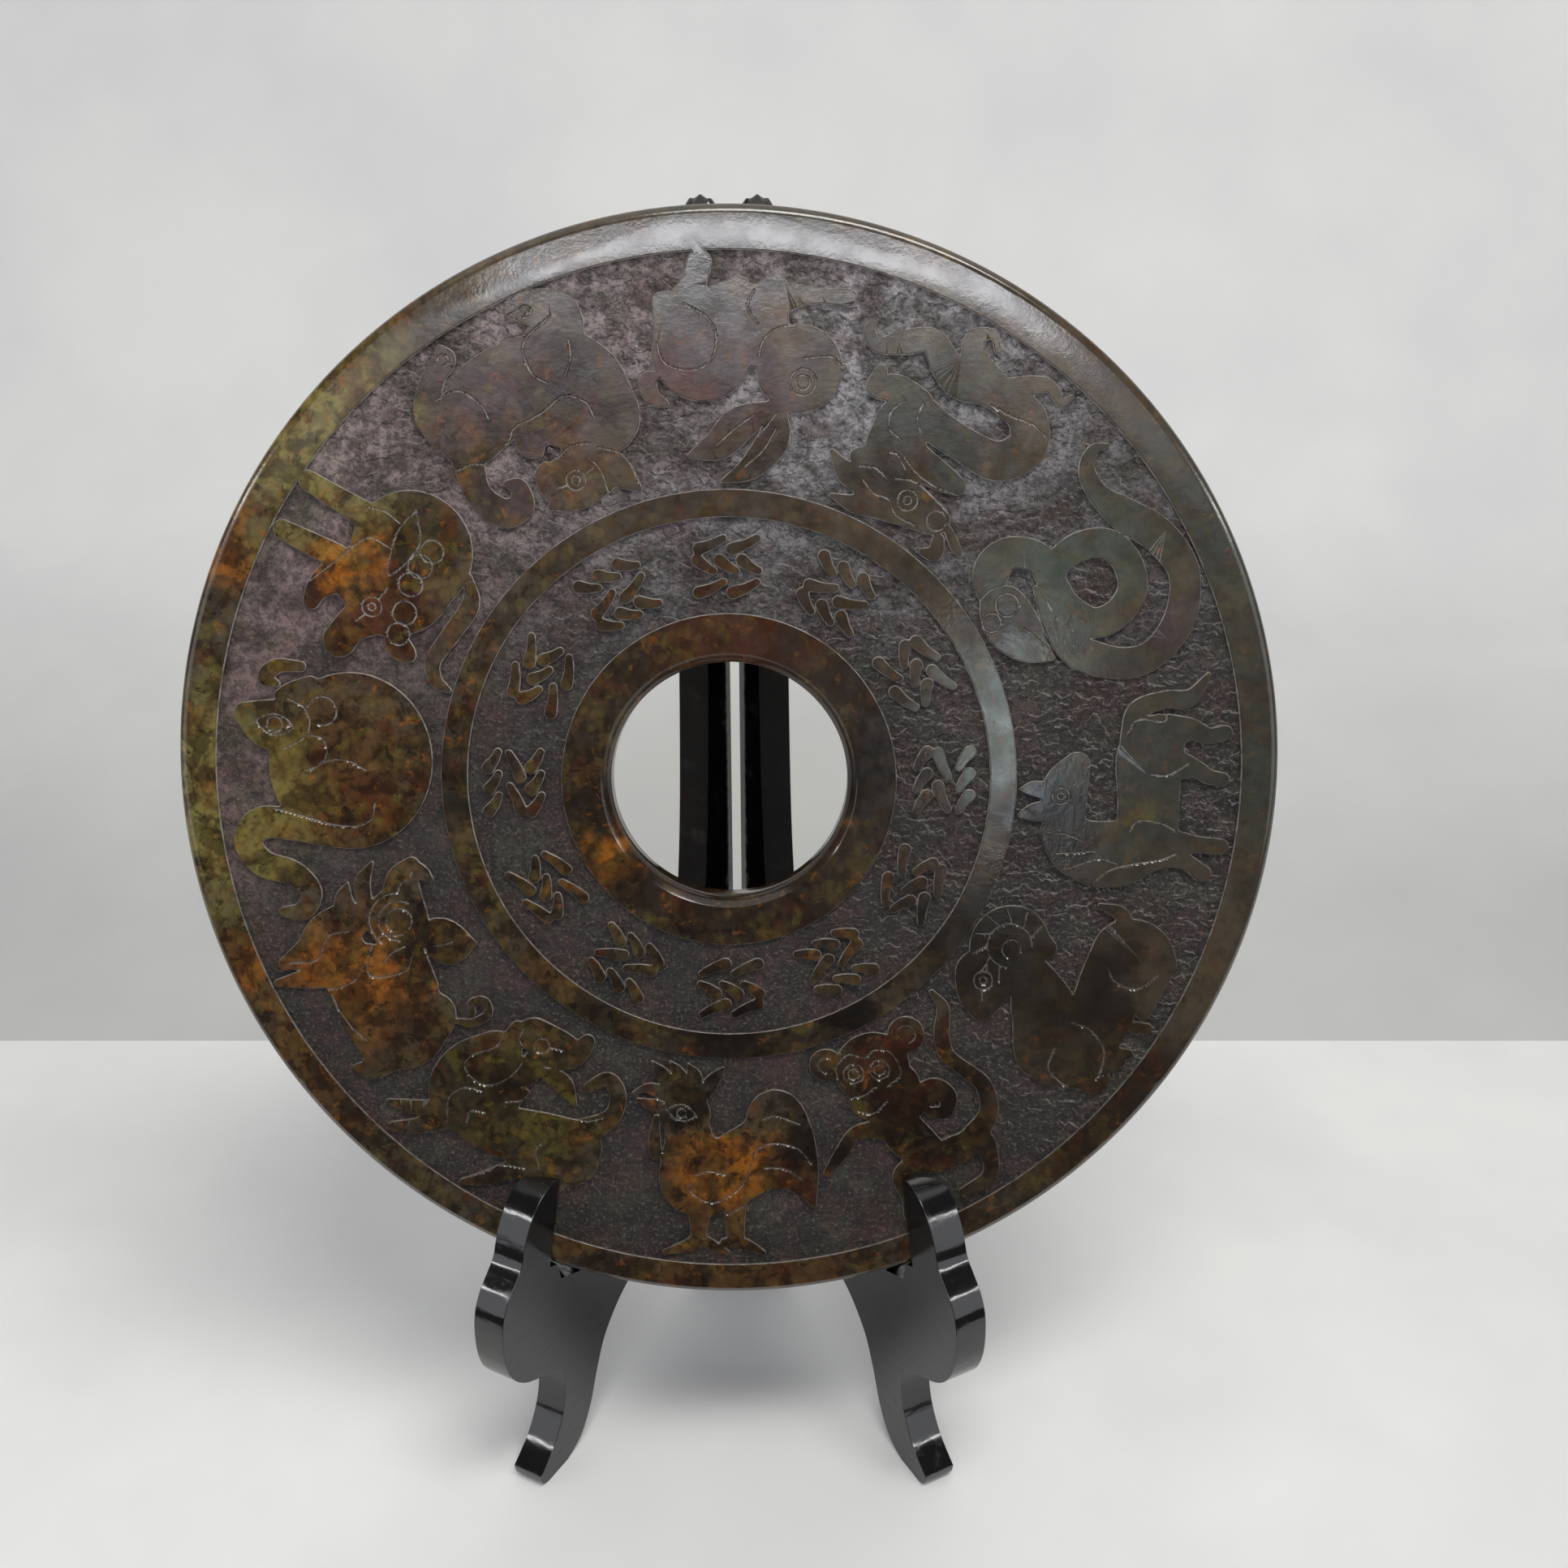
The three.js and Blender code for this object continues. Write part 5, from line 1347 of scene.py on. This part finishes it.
def dull_rolled_brass():
    """Thin rolled brass, gone dull and brown in patches, with fine scratches along the strip."""
    material, tree, shader = new_material("dull rolled brass", Metallic=1.0)
    node = partial(add, tree)
    place = node("ShaderNodeTexCoord").outputs["Object"]
    even = node("ShaderNodeMapping", place, given={"Scale": PER_METRE})
    drawn = node("ShaderNodeMapping", place, given={"Scale": (1000, 1000, 60)})
    stains = node("ramp", node("noise", even, 1 / 5, 5, 0.55), 0.4, 0.68)
    feed(tree, shader.inputs["Base Color"], node("mix", stains, colour("#b08d4a"), colour("#5b4422")))
    scratches = node("noise", drawn, 1 / 0.5, 3, 0.55)
    feed(tree, shader.inputs["Roughness"], node("ramp", scratches, 0.3, 0.7, 0.28, 0.5))
    bump = node("ShaderNodeBump", given={"Height": scratches, "Strength": 0.4, "Distance": 0.05 * MM})
    feed(tree, shader.inputs["Normal"], bump)
    return material


def plain_plaster(name, tone, shade, foot="#ffffff"):
    """A pale painted surface, a little uneven, and darker towards the foot of a wall as painted shade."""
    material, tree, shader = new_material(name, Roughness=0.7)
    node = partial(add, tree)
    place = node("ShaderNodeTexCoord").outputs["Object"]
    blotches = node("ramp", node("noise", place, 1 / 0.18, 4, 0.55), 0.3, 0.7)
    tint = node("mix", blotches, colour(tone), colour(shade))
    # Painted shade: the colour is multiplied by the foot tone over the lowest 0.16 m.
    painted_foot_shade = node("ramp", node("ShaderNodeSeparateXYZ", place).outputs["Z"], 0.16, 0.0)
    feed(tree, shader.inputs["Base Color"], node("mix", painted_foot_shade, tint, colour(foot), blend_type="MULTIPLY"))
    return material


# ---- Floor, light and camera --------------------------------------------------------------------

# In metres. The shelf runs from front to back.
SHELF_FRONT = -0.16
SHELF_BACK = 0.205
# Behind the shelf, the pale backdrop rises: distance back, height.
BACKDROP = ((SHELF_BACK, 0), (0.30, 0.026), (0.40, 0.058), (0.50, 0.10), (0.58, 0.16), (0.64, 0.25),
            (0.68, 0.38), (0.70, 0.55), (0.70, 2.6))
VIEW_DOWN = 22                               # degrees that the camera looks down
LENS, SENSOR = 36.34, 36.0                   # millimetres
ASIDE, BEFORE, ABOVE = 0.015, 0.400, 0.161   # from the middle of the disc's face to the camera


def sheet_mesh(name, profile):
    """A wide sheet over a profile of (distance back, height)."""
    points = [(x, y, z) for y, z in profile for x in (-3, 3)]
    faces = [(2 * i, 2 * i + 1, 2 * i + 3, 2 * i + 2) for i in range(len(profile) - 1)]
    mesh = bpy.data.meshes.new(name)
    mesh.from_pydata(points, [], faces)
    mesh.shade_smooth()
    return mesh


def make_stage():
    """Shelf, the table in front of it, which leaves no mirror image in the gloss, and backdrop."""
    paint = plain_plaster("pale painted shelf", "#e2e2e0", "#d6d6d6")
    wall_paint = plain_plaster("pale painted wall", "#d6d6d4", "#cccccc", "#dcdcdc")
    floor = show("floor", sheet_mesh("floor", ((SHELF_FRONT, 0), (SHELF_BACK, 0))), paint)
    apron = show("floor_front", sheet_mesh("floor_front", ((-3, 0), (SHELF_FRONT, 0))), paint)
    wall = show("backdrop", sheet_mesh("backdrop", BACKDROP), wall_paint)
    apron.visible_glossy = False


def area_light(name, place, target, size, power, tone):
    """A rectangular lamp that looks at a target."""
    light = bpy.data.lights.new(name, "AREA")
    light.shape = "RECTANGLE"
    light.size, light.size_y = size
    light.energy = power
    light.color = colour(tone)[:3]
    lamp = bpy.data.objects.new(name, light)
    bpy.context.collection.objects.link(lamp)
    lamp.location = place
    lamp.rotation_euler = (Vector(target) - Vector(place)).to_track_quat("-Z", "Y").to_euler()


# Lamps: place, what it looks at, width and height, power, tone.
LAMPS = {
    "key_lamp": ((0.25, -0.55, 1.50), (0, 0, 0.2), (0.9, 0.35), 10.0, "#fffdf8"),
    "front_lamp": ((0.03, -1.75, 1.30), (0, 0, 0.2), (1.1, 0.3), 9.0, "#f6f8ff"),
    "front_panel": ((0.0, -1.95, 1.15), (0, 0, 0.3), (2.2, 0.4), 2.2, "#f2f5ff"),
    "ceiling_panel": ((0.0, 0.1, 1.75), (0, 0.1, 0.2), (2.0, 2.0), 7.0, "#fbfaf6"),
    "left_panel": ((-1.6, -0.9, 0.6), (0, 0, 0.2), (1.2, 1.2), 4.0, "#f6f8ff"),
    "right_panel": ((1.6, -0.9, 0.6), (0, 0, 0.2), (1.2, 1.2), 4.0, "#f6f8ff"),
    "left_spark": ((-1.5, -0.64, 1.0), (0, 0, 0.1), (0.8, 0.07), 2.0, "#ffffff"),
    "right_spark": ((1.5, -0.7, 1.0), (0, 0, 0.1), (0.8, 0.07), 2.0, "#ffffff"),
    "front_strip": ((0.39, -2.2, 0.47), (0.05, 0, 0.2), (0.06, 0.38), 0.5, "#e6f2ff"),
}


def make_lights():
    """A faint even room, and the lamps."""
    world = bpy.data.worlds.new("soft room")
    world.use_nodes = True
    room = world.node_tree.nodes["Background"].inputs
    room["Color"].default_value = colour("#e6e8ea")
    room["Strength"].default_value = 0.08
    bpy.context.scene.world = world
    for name, settings in LAMPS.items():
        area_light(name, *settings)


def make_camera():
    """A camera in front of the face, above it, looking down."""
    camera = bpy.data.cameras.new("camera")
    camera.lens = LENS
    camera.sensor_width = SENSOR
    holder = bpy.data.objects.new("camera", camera)
    bpy.context.collection.objects.link(holder)
    face = DISC_POSE.to_translation()
    holder.location = (ASIDE, face.y - BEFORE, face.z + ABOVE)
    holder.rotation_euler = (math.radians(90 - VIEW_DOWN), 0, 0)
    bpy.context.scene.camera = holder


# ---- The whole ----------------------------------------------------------------------------------

jade = polished_carved_jade()
lacquer = black_lacquer_on_wood()
brass = dull_rolled_brass()

make_disc(jade)
make_leaf(-1, "disc_and_left_leaf", lacquer)
make_leaf(1, "right_leaf", lacquer)
make_hinges(brass)
screws = screw_tree(brass)
make_screws(-1, "disc_and_left_leaf", screws, brass)
make_screws(1, "right_leaf", screws, brass)

make_stage()
make_lights()
make_camera()

bpy.context.scene.view_settings.view_transform = "Standard"
bpy.context.scene.view_settings.exposure = 0.3
